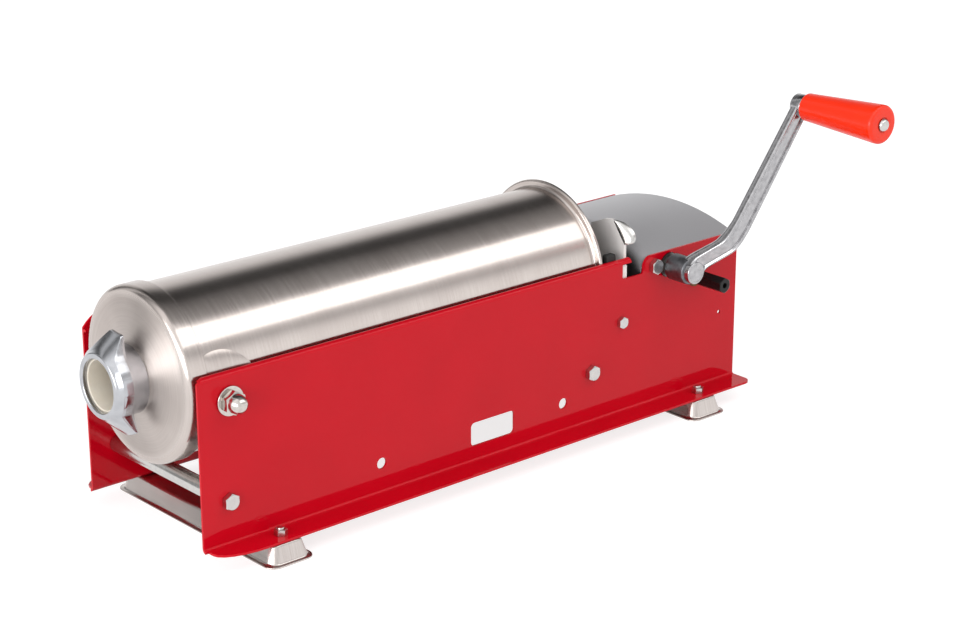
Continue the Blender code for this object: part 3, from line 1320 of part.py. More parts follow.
def build():
    """Make the machine, frame first, then cylinder, drive, hood and crank."""
    clear_scene()
    red = material("red_enamel", (0.55, 0.012, 0.020), 0.22, 0.0)
    brushed = material("brushed_stainless", (0.72, 0.70, 0.68), 0.32, 1.0)
    zinc = material("bright_zinc", (0.78, 0.78, 0.80), 0.22, 1.0)
    chrome = material("chrome", (0.80, 0.80, 0.82), 0.10, 1.0)
    cast = material("cast_crank", (0.70, 0.70, 0.70), 0.28, 1.0)
    blackened = material("blackened_steel", (0.02, 0.02, 0.022), 0.35, 1.0)
    gear_steel = material("gear_steel", (0.45, 0.45, 0.46), 0.35, 1.0)
    grey = material("grey_enamel", (0.33, 0.33, 0.34), 0.40, 0.0)
    ivory = material("ivory_plastic", (0.86, 0.80, 0.68), 0.45, 0.0)
    black_rubber = material("black_rubber", (0.015, 0.015, 0.015), 0.7, 0.0)
    orange = material("orange_grip", (0.95, 0.06, 0.01), 0.38, 0.0)
    bronze = material("bronze", (0.62, 0.42, 0.20), 0.4, 1.0)

    root = empty("machine", None, (0, 0, 0))
    slider = empty("piston_slide", root, (PISTON_FRONT, MIDDLE, AXIS_HEIGHT))
    fast = empty("fast_axis", root, (FAST_AXIS[0], 0, FAST_AXIS[1]))
    slow = empty("slow_axis", root, (SLOW_AXIS[0], 0, SLOW_AXIS[1]))
    crank = empty("crank_socket", slow, (SLOW_AXIS[0], CRANK_BACK, SLOW_AXIS[1]))
    grip_axis = empty("grip_axis", crank, (GRIP_AXIS[0], GRIP_START, GRIP_AXIS[1]))
    outlet = empty("outlet_axis", root, (NUT_FRONT, MIDDLE, AXIS_HEIGHT))

    for side, outside, inward in (("near", 0.0, 1), ("far", FRAME_WIDTH, -1)):
        side_panel(f"side_panel_{side}", root, outside, inward, red)
        head = outside - inward * GAP
        length = SHEET + 2 * GAP + BOLT_IN_ROD
        hex_bolt(f"front_rod_bolt_{side}", root, FRONT_ROD, head, -inward, M8, length, zinc)
        hex_bolt(f"rear_rod_bolt_{side}", root, REAR_ROD, head, -inward, M8, length, zinc)
        through = SHEET + PLATE_THICKNESS + BOLT_PAST_SHEETS
        hex_bolt(f"plate_bolt_{side}", root, PLATE_FIXING, head, -inward, M6, through, zinc)
        inside = SHEET + HOOD_BOLT_INSIDE
        hex_bolt(f"hood_bolt_{side}", root, HOOD_FIXING, head, -inward, M8, inside, zinc)
        for end, x in zip(("front", "rear"), FOOT_CENTRES):
            foot_fixing(root, end, side, (x, outside - inward * FOOT_SCREW_OUT), zinc)
        pivot(root, side, outside, inward, brushed, chrome)
        buffer_block(f"buffer_{side}", root, outside, inward, black_rubber)
        flanged_bush(f"fast_bush_{side}", root, outside, inward, bronze)
    tie_rod("tie_rod_front", root, FRONT_ROD, zinc)
    tie_rod("tie_rod_rear", root, REAR_ROD, zinc)
    foot("foot_front", root, FOOT_CENTRES[0], brushed)
    foot("foot_rear", root, FOOT_CENTRES[1], brushed)
    cross_plate(root, brushed)
    rack_guide(root, gear_steel, zinc)
    slow_bearing(root, gear_steel)
    gear_hood(root, grey)

    cylinder_tube(root, brushed)
    front_cap(root, brushed)
    outlet_liner(root, ivory)
    ring_nut(outlet, chrome)

    piston(slider, ivory, black_rubber, brushed, zinc)
    rack(slider, gear_steel)

    drive_shaft("fast_shaft", fast, FAST_AXIS, FAST_END, FRAME_WIDTH + FAST_PAST_FRAME, blackened)
    upright = math.pi / 2
    across = (MIDDLE - PINION_WIDTH / 2, MIDDLE + PINION_WIDTH / 2)
    gear("rack_pinion", fast, FAST_AXIS, PINION_TEETH, RACK_MODULE, upright, across, gear_steel)
    towards_slow = math.pi - MESH_ANGLE
    across = (GEAR_NEAR, GEAR_NEAR + GEAR_WIDTH)
    hub = (GEAR_HUB_RADIUS, SHEET + 2 * GAP + BUSH_WALL + GAP, GEAR_NEAR + GEAR_WIDTH / 2)
    gear(
        "large_gear", fast, FAST_AXIS, LARGE_TEETH, GEAR_MODULE, towards_slow, across, gear_steel,
        hub=hub, flank_steps=1,
    )
    retaining_ring("fast_retaining_ring", fast, FAST_AXIS, FRAME_WIDTH + RING_STAND, blackened)

    drive_shaft("slow_shaft", slow, SLOW_AXIS, SLOW_END, SLOW_FAR_END, gear_steel)
    facing_gap = -MESH_ANGLE + math.pi / SLOW_TEETH
    across = (GEAR_NEAR - SLOW_PINION_EXTRA, GEAR_NEAR + GEAR_WIDTH + SLOW_PINION_EXTRA)
    gear("slow_pinion", slow, SLOW_AXIS, SLOW_TEETH, GEAR_MODULE, facing_gap, across, gear_steel)
    retaining_ring("slow_retaining_ring", slow, SLOW_AXIS, SLOW_FAR_END - RING_INSET, blackened)

    crank_arm(crank, cast)
    grip_pin(crank, zinc)
    grip(grip_axis, orange)
    settle(root)


build()
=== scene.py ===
"""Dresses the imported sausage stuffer: finer surfaces and finishes, piece by piece in the order of assembly.

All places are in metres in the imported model's own frame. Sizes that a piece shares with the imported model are
read from its nodes' boxes.
"""

import math

import bmesh
import bpy
import numpy as np
from mathutils import Matrix, Vector


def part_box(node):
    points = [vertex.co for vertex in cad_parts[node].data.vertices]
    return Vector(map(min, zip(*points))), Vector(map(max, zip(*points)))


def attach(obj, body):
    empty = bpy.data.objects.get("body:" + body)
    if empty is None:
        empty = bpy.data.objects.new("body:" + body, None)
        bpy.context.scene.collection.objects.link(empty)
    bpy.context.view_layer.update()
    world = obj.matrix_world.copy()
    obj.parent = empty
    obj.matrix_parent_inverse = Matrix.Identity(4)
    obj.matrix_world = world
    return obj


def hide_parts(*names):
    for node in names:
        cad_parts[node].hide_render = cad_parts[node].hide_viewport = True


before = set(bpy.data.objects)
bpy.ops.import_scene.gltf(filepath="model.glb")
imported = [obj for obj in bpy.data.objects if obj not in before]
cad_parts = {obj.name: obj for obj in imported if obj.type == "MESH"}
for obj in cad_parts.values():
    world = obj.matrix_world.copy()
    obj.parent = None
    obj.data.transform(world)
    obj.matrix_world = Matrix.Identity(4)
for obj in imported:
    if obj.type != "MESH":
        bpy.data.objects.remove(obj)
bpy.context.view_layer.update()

# Side panels: two sheets of mild steel, laser cut, with a top hem bent inward and a bottom flange bent
# outward. They are sprayed with a glossy red stoving enamel, whose edges catch a thin line of light.
PANEL_EDGE = 0.00045
ENAMEL_WAVE, WAVE_DEPTH = 0.055, 0.00012
ENAMEL_PEEL, PEEL_DEPTH = 0.0016, 0.000003


def linear(code):
    """Turn an sRGB hex colour to linear: c / 12.92 below 0.04045, else ((c + 0.055) / 1.055) to the 2.4."""
    srgb = np.array([int(code[place:place + 2], 16) for place in (1, 3, 5)]) / 255
    light = np.where(srgb <= 0.04045, srgb / 12.92, ((srgb + 0.055) / 1.055) ** 2.4)
    return (*light.tolist(), 1.0)


def add(material, kind, sockets=None, **settings):
    """Add one shader node with its settings; each socket takes a value or another node's output."""
    made = material.node_tree.nodes.new("ShaderNode" + kind)
    for setting, value in settings.items():
        setattr(made, setting, value)
    for socket, value in (sockets or {}).items():
        if isinstance(value, bpy.types.NodeSocket):
            material.node_tree.links.new(value, made.inputs[socket])
        else:
            made.inputs[socket].default_value = value
    return made


def finish(name, colour, roughness, metallic, **sockets):
    """Start a material: a Principled shader with one colour and the given plain values."""
    made = bpy.data.materials.new(name)
    made.use_nodes = True
    inputs = made.node_tree.nodes["Principled BSDF"].inputs
    values = {"Base Color": linear(colour), "Roughness": roughness, "Metallic": metallic, **sockets}
    for socket, value in values.items():
        inputs[socket.replace("_", " ")].default_value = value
    return made


def link(material, output, socket):
    """Feed a node's output into one of the sockets of the material's shader."""
    material.node_tree.links.new(output, material.node_tree.nodes["Principled BSDF"].inputs[socket])


def mottled(material, size, detail, tones, rough=None, span=(0.0, 1.0), relief=(), stretch=None):
    """Vary a finish between two tones, and over a range of roughness, by one noise of a size in metres.

    Span is the part of the noise that the roughness is spread over, and stretch multiplies the place that all
    noises read. Each relief is a noise of its own, as (size, detail, strength, depth). Returns the tone.
    """
    where = add(material, "TexCoord").outputs["Object"]
    if stretch:
        where = add(material, "VectorMath", {0: where, 1: stretch}, operation="MULTIPLY").outputs[0]
    cloud = add(material, "TexNoise", {"Vector": where, "Scale": 1 / size, "Detail": detail}).outputs["Fac"]
    tone = add(material, "Mix", {0: cloud, 6: linear(tones[0]), 7: linear(tones[1])}, data_type="RGBA")
    link(material, tone.outputs[2], "Base Color")
    if rough:
        spread = {"Value": cloud, "From Min": span[0], "From Max": span[1],
                  "To Min": rough[0], "To Max": rough[1]}
        link(material, add(material, "MapRange", spread).outputs["Result"], "Roughness")
    under = {}
    for grain, octaves, strength, depth in relief:
        noise = {"Vector": where, "Scale": 1 / grain, "Detail": octaves}
        height = add(material, "TexNoise", noise).outputs["Fac"]
        bump = add(material, "Bump", {"Height": height, "Strength": strength, "Distance": depth, **under})
        link(material, bump.outputs[0], "Normal")
        under = {"Normal": bump.outputs[0]}
    return tone.outputs[2]


def dress(piece, body, slot, material, *nodes):
    """Give a new piece its material, the body that it rides on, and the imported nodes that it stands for."""
    piece.data.materials.append(material)
    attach(piece, body)
    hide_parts(*nodes)


def softened(node, width, limit=35):
    """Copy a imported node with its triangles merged, and round each edge above the limit, in degrees."""
    same_point, same_plane = 1e-6, math.radians(0.5)
    shape = bmesh.new()
    shape.from_mesh(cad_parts[node].data)
    bmesh.ops.remove_doubles(shape, verts=shape.verts, dist=same_point)
    bmesh.ops.dissolve_limit(shape, angle_limit=same_plane, verts=shape.verts, edges=shape.edges)
    mesh = bpy.data.meshes.new(node + "_softened")
    shape.to_mesh(mesh)
    shape.free()
    mesh.shade_smooth()
    piece = bpy.data.objects.new(node + "_softened", mesh)
    bpy.context.scene.collection.objects.link(piece)
    edge = piece.modifiers.new("Edges", "BEVEL")
    edge.width = width
    edge.segments = 2
    edge.limit_method = "ANGLE"
    edge.angle_limit = math.radians(limit)
    flats = piece.modifiers.new("Flats", "WEIGHTED_NORMAL")
    flats.keep_sharp = False
    return piece


# Stoved enamel: an even deep red with sharp reflections, which a slow wave bends and a fine peel breaks up.
enamel = finish("stoved_red_enamel_gloss", "#C3051A", 0.12, 0.0, Specular_IOR_Level=0.2)
mottled(enamel, ENAMEL_WAVE, 1.0, ("#B70317", "#C3051B"), (0.05, 0.09), (0.3, 0.7),
        ((ENAMEL_WAVE, 1.0, 1.0, WAVE_DEPTH), (ENAMEL_PEEL, 0.0, 1.0, PEEL_DEPTH)))
for side in ("near", "far"):
    node = f"side_panel_{side}"
    dress(softened(node, PANEL_EDGE), "frame", "red_enamel", enamel, node)

# Tie rods: bright zinc plated round bars, turned to length and tapped at both ends. The front one shows below
# the cap, and the rear one carries the tube.
ROD_FACE, ROD_SIDES = 0.0008, 64
PLATING, PLATING_DEPTH = 0.004, 0.00001
AXES = {
    "x": ((1, 0, 0), (0, 1, 0), (0, 0, 1)),
    "y": ((0, 1, 0), (1, 0, 0), (0, 0, 1)),
    "z": ((0, 0, 1), (1, 0, 0), (0, 1, 0)),
}


def rounded(corners, steps=4):
    """Replace each corner (a, b, radius) of a line by the arc of that radius that touches both its sides.

    The arc's centre stands radius / sin(half angle) from the corner along the bisector. Its points are the
    two contact points' spokes weighted by sin((1 - k) turn) and sin(k turn), over sin(turn).
    """
    corners = np.array([(*corner, 0.0)[:3] for corner in corners])
    points = [corners[:1, :2]]
    for before, (a, b, radius), after in zip(corners, corners[1:-1], corners[2:]):
        corner = np.array([a, b])
        if radius <= 0:
            points.append(corner[None])
            continue
        back, on = before[:2] - corner, after[:2] - corner
        back, on = back / np.linalg.norm(back), on / np.linalg.norm(on)
        half = np.arccos(np.clip(back @ on, -1, 1)) / 2
        middle = corner + (back + on) / np.linalg.norm(back + on) * radius / np.sin(half)
        first = corner + back * radius / np.tan(half) - middle
        last = corner + on * radius / np.tan(half) - middle
        turn = np.pi - 2 * half
        share = np.linspace(0, 1, steps + 1)[:, None]
        spokes = np.sin((1 - share) * turn) * first + np.sin(share * turn) * last
        points.append(middle + spokes / np.sin(turn))
    points.append(corners[-1:, :2])
    return np.concatenate(points)


def surface(name, points, closed=(True, True), grain=None, sharp=40):
    """Join a grid of points, rows by columns, into quads, and merge the points that fall together.

    Quad (i, j) has the corners (i, j), (i + 1, j), (i + 1, j + 1) and (i, j + 1), with the last row or column
    joined to the first where closed says so. Grain, of one more row and column there, becomes the UV map.
    """
    same_point = 1e-7
    rows, columns = points.shape[:2]
    row, column = np.arange(rows - (not closed[0])), np.arange(columns - (not closed[1]))
    i, j = (index.ravel() for index in np.meshgrid(row, column, indexing="ij"))
    down, across = np.stack([i, i + 1, i + 1, i]), np.stack([j, j, j + 1, j + 1])
    mesh = bpy.data.meshes.new(name)
    mesh.from_pydata(points.reshape(-1, 3), [], ((down % rows) * columns + across % columns).T.tolist())
    if grain is not None:
        layer = mesh.uv_layers.new(name="grain")
        layer.data.foreach_set("uv", grain[down, across].transpose(1, 0, 2).astype(np.float32).ravel())
    shape = bmesh.new()
    shape.from_mesh(mesh)
    bmesh.ops.remove_doubles(shape, verts=shape.verts, dist=same_point)
    bmesh.ops.recalc_face_normals(shape, faces=shape.faces)
    shape.to_mesh(mesh)
    shape.free()
    mesh.shade_smooth()
    mesh.set_sharp_from_angle(angle=math.radians(sharp))
    piece = bpy.data.objects.new(name, mesh)
    bpy.context.scene.collection.objects.link(piece)
    return piece


def ringed(name, depths, reach, centre, axis, grain=None, sharp=40):
    """Join rings about an axis through a centre, the last ring to the first.

    A point is centre + depth * axis + reach * (cos(turn) * first + sin(turn) * second), and depths and reach
    hold one row for each ring and one column for each turn.
    """
    along, first, second = (np.array(way) for way in AXES[axis])
    turn = np.linspace(0, 2 * np.pi, reach.shape[1], endpoint=False)
    points = np.array(centre, float) + depths[..., None] * along
    points = points + (reach * np.cos(turn))[..., None] * first + (reach * np.sin(turn))[..., None] * second
    return surface(name, points, grain=grain, sharp=sharp)


def turned(name, profile, centre, axis, sides):
    """Turn a profile of (depth, radius) about an axis through a centre, and close its end to its start.

    The grain map is the length run along the profile, and the turn times the largest radius, in metres.
    """
    depth, radius = np.asarray(profile, float).T
    steps = np.hypot(np.diff(depth, append=depth[0]), np.diff(radius, append=radius[0]))
    grain = np.empty((len(depth) + 1, sides + 1, 2))
    grain[..., 0] = np.concatenate([[0], np.cumsum(steps)])[:, None]
    grain[..., 1] = np.linspace(0, 2 * np.pi, sides + 1) * radius.max()
    circle = np.ones(sides)
    return ringed(name, depth[:, None] * circle, radius[:, None] * circle, centre, axis, grain)


def middle_of(node):
    """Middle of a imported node's box."""
    low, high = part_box(node)
    return (np.array(low) + np.array(high)) / 2


def on_axis(node):
    """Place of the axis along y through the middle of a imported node's box."""
    return (middle_of(node)[0], 0.0, middle_of(node)[2])


# Zinc plating: a pale, slightly clouded shine with small uneven glints.
zinc = finish("bright_zinc_plated_steel", "#C9C8C6", 0.24, 1.0)
mottled(zinc, PLATING, 3.0, ("#B9B8B8", "#D6D4D0"), (0.18, 0.28),
        relief=((PLATING, 3.0, 0.4, PLATING_DEPTH),))
for end in ("front", "rear"):
    node = f"tie_rod_{end}"
    low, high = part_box(node)
    radius = (high.x - low.x) / 2
    edge = ((low.y, 0), (low.y, radius, ROD_FACE), (high.y, radius, ROD_FACE), (high.y, 0))
    rod = turned(f"{node}_turned", rounded(edge), on_axis(node), "y", ROD_SIDES)
    dress(rod, "frame", "bright_zinc", zinc, node)

# Hexagon bolts of the frame: zinc plated steel, cold headed, with the 30 degree chamfer of a bolt head, which
# leaves a curved edge on each flat. The plate's own bolts are a size smaller than the rest.
HEAD_SLOPE = math.tan(math.radians(30))
FACE_SHARE, CORNER_SHARE, HEX_SIDES = 0.94, 0.985, 96
BIG_HEAD, BIG_SHANK = 0.0053, 0.004
SMALL_HEAD, SMALL_SHANK = 0.0040, 0.003


def hexagon(flats):
    """Reach of a hexagon at evenly spaced turns: flats / 2 over the cosine of the turn from its nearest flat.

    One corner stands at a quarter turn, and the reach is capped a little short of the corners.
    """
    turn = np.linspace(0, 360, HEX_SIDES, endpoint=False)
    from_flat = np.radians((turn - 90) % 60 - 30)
    return np.minimum(flats / 2 / np.cos(from_flat), flats / 2 / np.cos(np.pi / 6) * CORNER_SHARE)


def hex_piece(name, rings, centre, axis, flats):
    """Turn a piece whose rings are (depth, radius), or (depth, "hex"), or (depth, "chamfer", outward).

    A chamfered ring stands at the hexagon's reach and falls from the flat face's circle at the head's slope.
    """
    reach, circle = hexagon(flats), np.ones(HEX_SIDES)
    fall = (reach - flats / 2 * FACE_SHARE) * HEAD_SLOPE
    depths, reaches = [], []
    for depth, radius, *outward in rings:
        reaches.append(reach if isinstance(radius, str) else radius * circle)
        depths.append(depth * circle - (outward[0] * fall if outward else 0))
    return ringed(name, np.array(depths), np.array(reaches), centre, axis, sharp=25)


def bolt(node, head, shank):
    """A hexagon bolt along y in place of a packed one, whose head points away from the frame's middle."""
    low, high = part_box(node)
    outward = 1 if middle_of(node)[1] > middle_of("gear_hood")[1] else -1
    top, end = (high.y, low.y) if outward > 0 else (low.y, high.y)
    seat = top - outward * head
    flats = high.x - low.x
    rings = ((end, 0), (end, shank), (seat, shank), (seat, "hex"), (top, "chamfer", outward),
             (top, flats / 2 * FACE_SHARE), (top, 0))
    dress(hex_piece(f"{node}_headed", rings, on_axis(node), "y", flats), "frame", "bright_zinc", zinc, node)


for side in ("near", "far"):
    for name in ("front_rod", "rear_rod", "hood"):
        bolt(f"{name}_bolt_{side}", BIG_HEAD, BIG_SHANK)
    bolt(f"plate_bolt_{side}", SMALL_HEAD, SMALL_SHANK)

# Feet: two trays pressed from 1.5 mm stainless sheet and brushed, open below, with drafted sides and a narrow
# lip. A screw from below and a nut hold each flange on them.
FOOT_WALL, FOOT_LIP, FOOT_DRAFT = 0.0015, 0.003, 0.0045
FOOT_CORNER, CORNER_LOSS = 0.0100, 3
CREST, CREST_INSIDE, TOE, TOE_INSIDE, LIP_EDGE = 0.0035, 0.0025, 0.0022, 0.0012, 0.0006
PAST_MIDDLE, CORNER_POINTS = 1.0, 9
SCREW_HEAD, SCREW_FACE, SCREW_CROWN, SCREW_EDGE = 0.0028, 0.8, 0.0012, 0.0008
SCREW_SHANK, SCREW_TIP, SCREW_SIDES = 0.003, 0.0006, 36
FOOT_NUT_BORE, NUT_LEAD = 0.0033, 0.0004
BRUSH_LINE, BRUSH_LENGTH = 0.0011, 0.07
CLOUDS_PER_METRE, DULL_BELOW, BRIGHT_ABOVE = 22.0, 0.7, 1.3
LESS_ROUGH, MORE_ROUGH = 0.05, 0.07


def stainless(name, colours, roughness, blur, depth):
    """Brushed stainless steel: fine lines across the grain map's first coordinate and along its second.

    The steel scatters light along the first coordinate, across the lines, by the share that blur gives. The
    lines are cut to the given depth. Returns the material and the roughness of its lines.
    """
    made = finish(name, colours[0], roughness, 1.0, Anisotropic=blur)
    grain = add(made, "UVMap", uv_map="grain").outputs["UV"]
    drawn_out = {0: grain, 1: (1 / BRUSH_LINE, 1 / BRUSH_LENGTH, 0)}
    stretch = add(made, "VectorMath", drawn_out, operation="MULTIPLY").outputs[0]
    lines = add(made, "TexNoise", {"Vector": stretch, "Scale": 1.0, "Detail": 4.0}).outputs["Fac"]
    place = add(made, "TexCoord").outputs["Object"]
    cloud = {"Vector": place, "Scale": CLOUDS_PER_METRE, "Detail": 2.0}
    both = add(made, "Math", {0: lines, 1: add(made, "TexNoise", cloud).outputs["Fac"]}, operation="ADD")
    share = {"Value": both.outputs[0], "From Min": DULL_BELOW, "From Max": BRIGHT_ABOVE}
    share = add(made, "MapRange", share).outputs["Result"]
    tone = add(made, "Mix", {0: share, 6: linear(colours[0]), 7: linear(colours[1])}, data_type="RGBA")
    link(made, tone.outputs[2], "Base Color")
    spread = {"Value": lines, "To Min": roughness - LESS_ROUGH, "To Max": roughness + MORE_ROUGH}
    spread = add(made, "MapRange", spread).outputs["Result"]
    link(made, spread, "Roughness")
    scratch = add(made, "Bump", {"Height": lines, "Strength": 1.0, "Distance": depth})
    link(made, scratch.outputs[0], "Normal")
    link(made, add(made, "Tangent", direction_type="UV_MAP", uv_map="grain").outputs[0], "Tangent")
    return made, spread


def flat_grain(places):
    """Grain map of a closed grid: two of its coordinates, with the first row and column again at the end."""
    grain = np.empty((places.shape[0] + 1, places.shape[1] + 1, 2))
    grain[:-1, :-1] = places
    grain[-1], grain[:, -1] = grain[0], grain[:, 0]
    return grain


def tray(name, node, levels):
    """Carry a profile of (inset, height) round a rectangle with round corners, as a foot's pressed wall.

    Each level's outline is the four quarter circles of its corner radius about its inset corners, joined
    straight, with the corner radius less where the inset is more.
    """
    low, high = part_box(node)
    middle = middle_of(node)
    half = (np.array(high) - np.array(low))[:2] / 2
    quarter = np.linspace(0, np.pi / 2, CORNER_POINTS)
    turn = np.concatenate([quarter + corner * np.pi / 2 for corner in range(4)])
    side_x = np.repeat([1, -1, -1, 1], CORNER_POINTS)
    side_y = np.repeat([1, 1, -1, -1], CORNER_POINTS)
    inset, height = np.asarray(levels).T
    inset = np.minimum(inset, half.min())[:, None]
    corner = np.clip(FOOT_CORNER - inset / CORNER_LOSS, 0, None) * (inset < half.min())
    centre = inset >= half.min()
    x = middle[0] + np.where(centre, 0, side_x * (half[0] - inset - corner) + corner * np.cos(turn))
    y = middle[1] + np.where(centre, 0, side_y * (half[1] - inset - corner) + corner * np.sin(turn))
    z = np.repeat(low.z + height[:, None], len(turn), axis=1)
    return surface(name, np.stack([x, y, z], axis=-1), grain=flat_grain(np.stack([x, y], axis=-1)))


# Brushed sheet: fine lines that draw each reflection out across them, with a slow change from cloud to cloud.
foot_steel = stainless("pressed_stainless_brushed", ("#BFB6B2", "#CDC5C1"), 0.24, 0.4, 0.000001)[0]
for end in ("front", "rear"):
    node = f"foot_{end}"
    low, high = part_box(node)
    tall = high.z - low.z
    draft = FOOT_LIP + FOOT_DRAFT
    outside = ((PAST_MIDDLE, tall), (draft, tall, CREST), (FOOT_LIP, FOOT_WALL, TOE),
               (0, FOOT_WALL, LIP_EDGE), (0, 0, LIP_EDGE), (FOOT_LIP + FOOT_WALL, 0, TOE_INSIDE),
               (draft + FOOT_WALL, tall - FOOT_WALL, CREST_INSIDE), (PAST_MIDDLE, tall - FOOT_WALL))
    dress(tray(f"{node}_pressed", node, rounded(outside)), "frame", "brushed_stainless", foot_steel, node)
    for side in ("near", "far"):
        screw, nut = f"foot_screw_{end}_{side}", f"foot_nut_{end}_{side}"
        low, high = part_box(screw)
        centre = (*middle_of(screw)[:2], 0)
        head = (high.x - low.x) / 2
        seat = low.z + SCREW_HEAD
        line = ((low.z, 0), (low.z, head * SCREW_FACE, SCREW_CROWN), (seat - SCREW_EDGE, head, SCREW_EDGE),
                (seat, head), (seat, SCREW_SHANK), (high.z, SCREW_SHANK, SCREW_TIP), (high.z, 0))
        piece = turned(f"{screw}_headed", rounded(line), centre, "z", SCREW_SIDES)
        dress(piece, "frame", "bright_zinc", zinc, screw)
        low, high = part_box(nut)
        flats = min(high.x - low.x, high.y - low.y)
        rings = ((low.z, FOOT_NUT_BORE), (low.z, "hex"), (high.z, "chamfer", 1),
                 (high.z, flats / 2 * FACE_SHARE), (high.z, FOOT_NUT_BORE + NUT_LEAD),
                 (high.z - NUT_LEAD, FOOT_NUT_BORE))
        dress(hex_piece(f"{nut}_tapped", rings, centre, "z", flats), "frame", "bright_zinc", zinc, nut)

# Cross plate: one 3 mm stainless blank behind the tube, with two side flanges and two ears whose outer edges
# are rolled back as thumb rests. Rubber buffers on its flanges take up the tube's rim.
PLATE_SHEET, PLATE_EDGE, EARS_BACK, CUT_BEHIND = 0.003, 0.0004, 0.015, 0.0003
FLAP_SHEET, FLAP_LAP, FLAP_BACK = 0.0018, 0.0001, 0.0083
FLAP_OUT = {"near": 0.0135, "far": 0.0195}
FLAP_INSET, FLAP_LEAN, FLAP_FOOT, FLAP_HEIGHT, FLAP_FULLNESS = 0.0042, 0.0150, 0.0207, 0.0205, 0.8
FLAP_ROWS, FLAP_COLUMNS = 12, 33
ROLL_SCALE, ROLL_DEPTH = 0.020, 0.0006
RUBBER_SKIN, SKIN_DEPTH, BUFFER_EDGE = 0.0007, 0.00005, 0.0006

# Satin sheet as rolled: pale and uneven, with soft dents, taller than wide, that blur what it reflects.
plate_steel = finish("satin_stainless_plate", "#C6C1BC", 0.36, 0.3)
mottled(plate_steel, ROLL_SCALE, 3.0, ("#DCD7D4", "#F0ECEA"), (0.42, 0.6),
        relief=((ROLL_SCALE, 3.0, 1.0, ROLL_DEPTH),), stretch=(1, 1, 0.25))
low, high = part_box("cradle_plate")
plate_back = high.x - EARS_BACK
plate = softened("cradle_plate", PLATE_EDGE)
shape = bmesh.new()
shape.from_mesh(plate.data)
ears = [vert for vert in shape.verts if vert.co.x > plate_back + CUT_BEHIND]
bmesh.ops.delete(shape, geom=ears, context="VERTS")
bmesh.ops.holes_fill(shape, edges=[edge for edge in shape.edges if edge.is_boundary], sides=0)
bmesh.ops.recalc_face_normals(shape, faces=shape.faces)
shape.to_mesh(plate.data)
shape.free()
dress(plate, "frame", "brushed_stainless", plate_steel, "cradle_plate")

# The ears' rolled edges are rubbed bright by thumbs, so they share the zinc's shine.
for side in ("near", "far"):
    along = np.linspace(0, 1, FLAP_COLUMNS)
    swell = np.sqrt(np.clip(1 - (2 * along - 1) ** 2, 0, 1)) ** FLAP_FULLNESS
    out_and_back = [np.linspace(0, np.pi / 2, FLAP_ROWS), np.linspace(np.pi / 2, 0, FLAP_ROWS)]
    roll = np.concatenate(out_and_back)[:, None]
    inner = np.repeat([0.0, 1.0], FLAP_ROWS)[:, None] * FLAP_SHEET * np.sqrt(swell)
    x = plate_back - PLATE_SHEET + FLAP_LAP + FLAP_BACK * (1 - np.cos(roll)) * swell + inner * np.cos(roll)
    inset = FLAP_INSET + FLAP_LEAN * along - FLAP_OUT[side] * np.sin(roll) * swell + inner * np.sin(roll)
    y = low.y + inset if side == "near" else high.y - inset
    z = high.z - FLAP_FOOT + FLAP_HEIGHT * along + 0 * roll
    flap = surface(f"ear_flap_{side}", np.stack(np.broadcast_arrays(x, y, z), axis=-1), closed=(True, False))
    dress(flap, "frame", "brushed_stainless", zinc, "cradle_plate")

# Moulded rubber: near black and dull, with a fine skin that takes the shine off.
rubber = finish("moulded_black_rubber", "#161616", 0.62, 0.0)
mottled(rubber, RUBBER_SKIN, 2.0, ("#101010", "#222120"), relief=((RUBBER_SKIN, 2.0, 0.5, SKIN_DEPTH),))
for side in ("near", "far"):
    dress(softened(f"buffer_{side}", BUFFER_EDGE), "frame", "black_rubber", rubber, f"buffer_{side}")

# Drive: milled steel gears, rack and guide, and turned shafts in bronze bushes. They are left as cut, lightly
# oiled; the fast shaft's end is blackened and has a hexagon for the crank and a centre hole.
CUT_LINE, CUT_LENGTHENING, PORE, OIL_PATCH = 0.0009, 0.12, 0.0008, 0.003
HEX_FLATS, FAST_SHAFT, SHAFT_EDGE, HEX_END = 0.013, 0.007, 0.0008, 0.022
HOLE_DEPTH, HOLE, HOLE_LEAD = 0.010, 0.0025, 0.0004


def recoat(material, slot, *nodes):
    """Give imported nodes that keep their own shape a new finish."""
    for node in nodes:
        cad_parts[node].material_slots[0].material = material


# Milled steel: mid grey with fine cutter marks along y, some duller than others.
gear_steel = finish("milled_gear_steel", "#8E8D8B", 0.34, 1.0)
mottled(gear_steel, CUT_LINE, 2.0, ("#7F7E7D", "#9D9B98"), (0.26, 0.44), stretch=(1, CUT_LENGTHENING, 1))
recoat(gear_steel, "gear_steel", "large_gear", "slow_pinion", "rack_pinion", "rack", "rack_guide",
       "slow_bearing", "slow_shaft")
recoat(zinc, "bright_zinc", "guide_screw_near", "guide_screw_far", "piston_bolt")

# Sintered bronze: brown, darkened partly by oil in its pores and partly as painted shade; a dull shine.
bronze = finish("sintered_bronze", "#A9814C", 0.4, 1.0)
mottled(bronze, PORE, 2.0, ("#4E3D28", "#735A38"))
recoat(bronze, "bronze", "fast_bush_near", "fast_bush_far")

# Blackened steel: almost black, with an oily sheen that comes and goes in patches.
black = finish("blackened_steel_oiled", "#0C0C0D", 0.24, 0.0, Specular_IOR_Level=0.3)
mottled(black, OIL_PATCH, 4.0, ("#060607", "#121212"), (0.2, 0.42))
recoat(black, "blackened_steel", "fast_retaining_ring", "slow_retaining_ring")

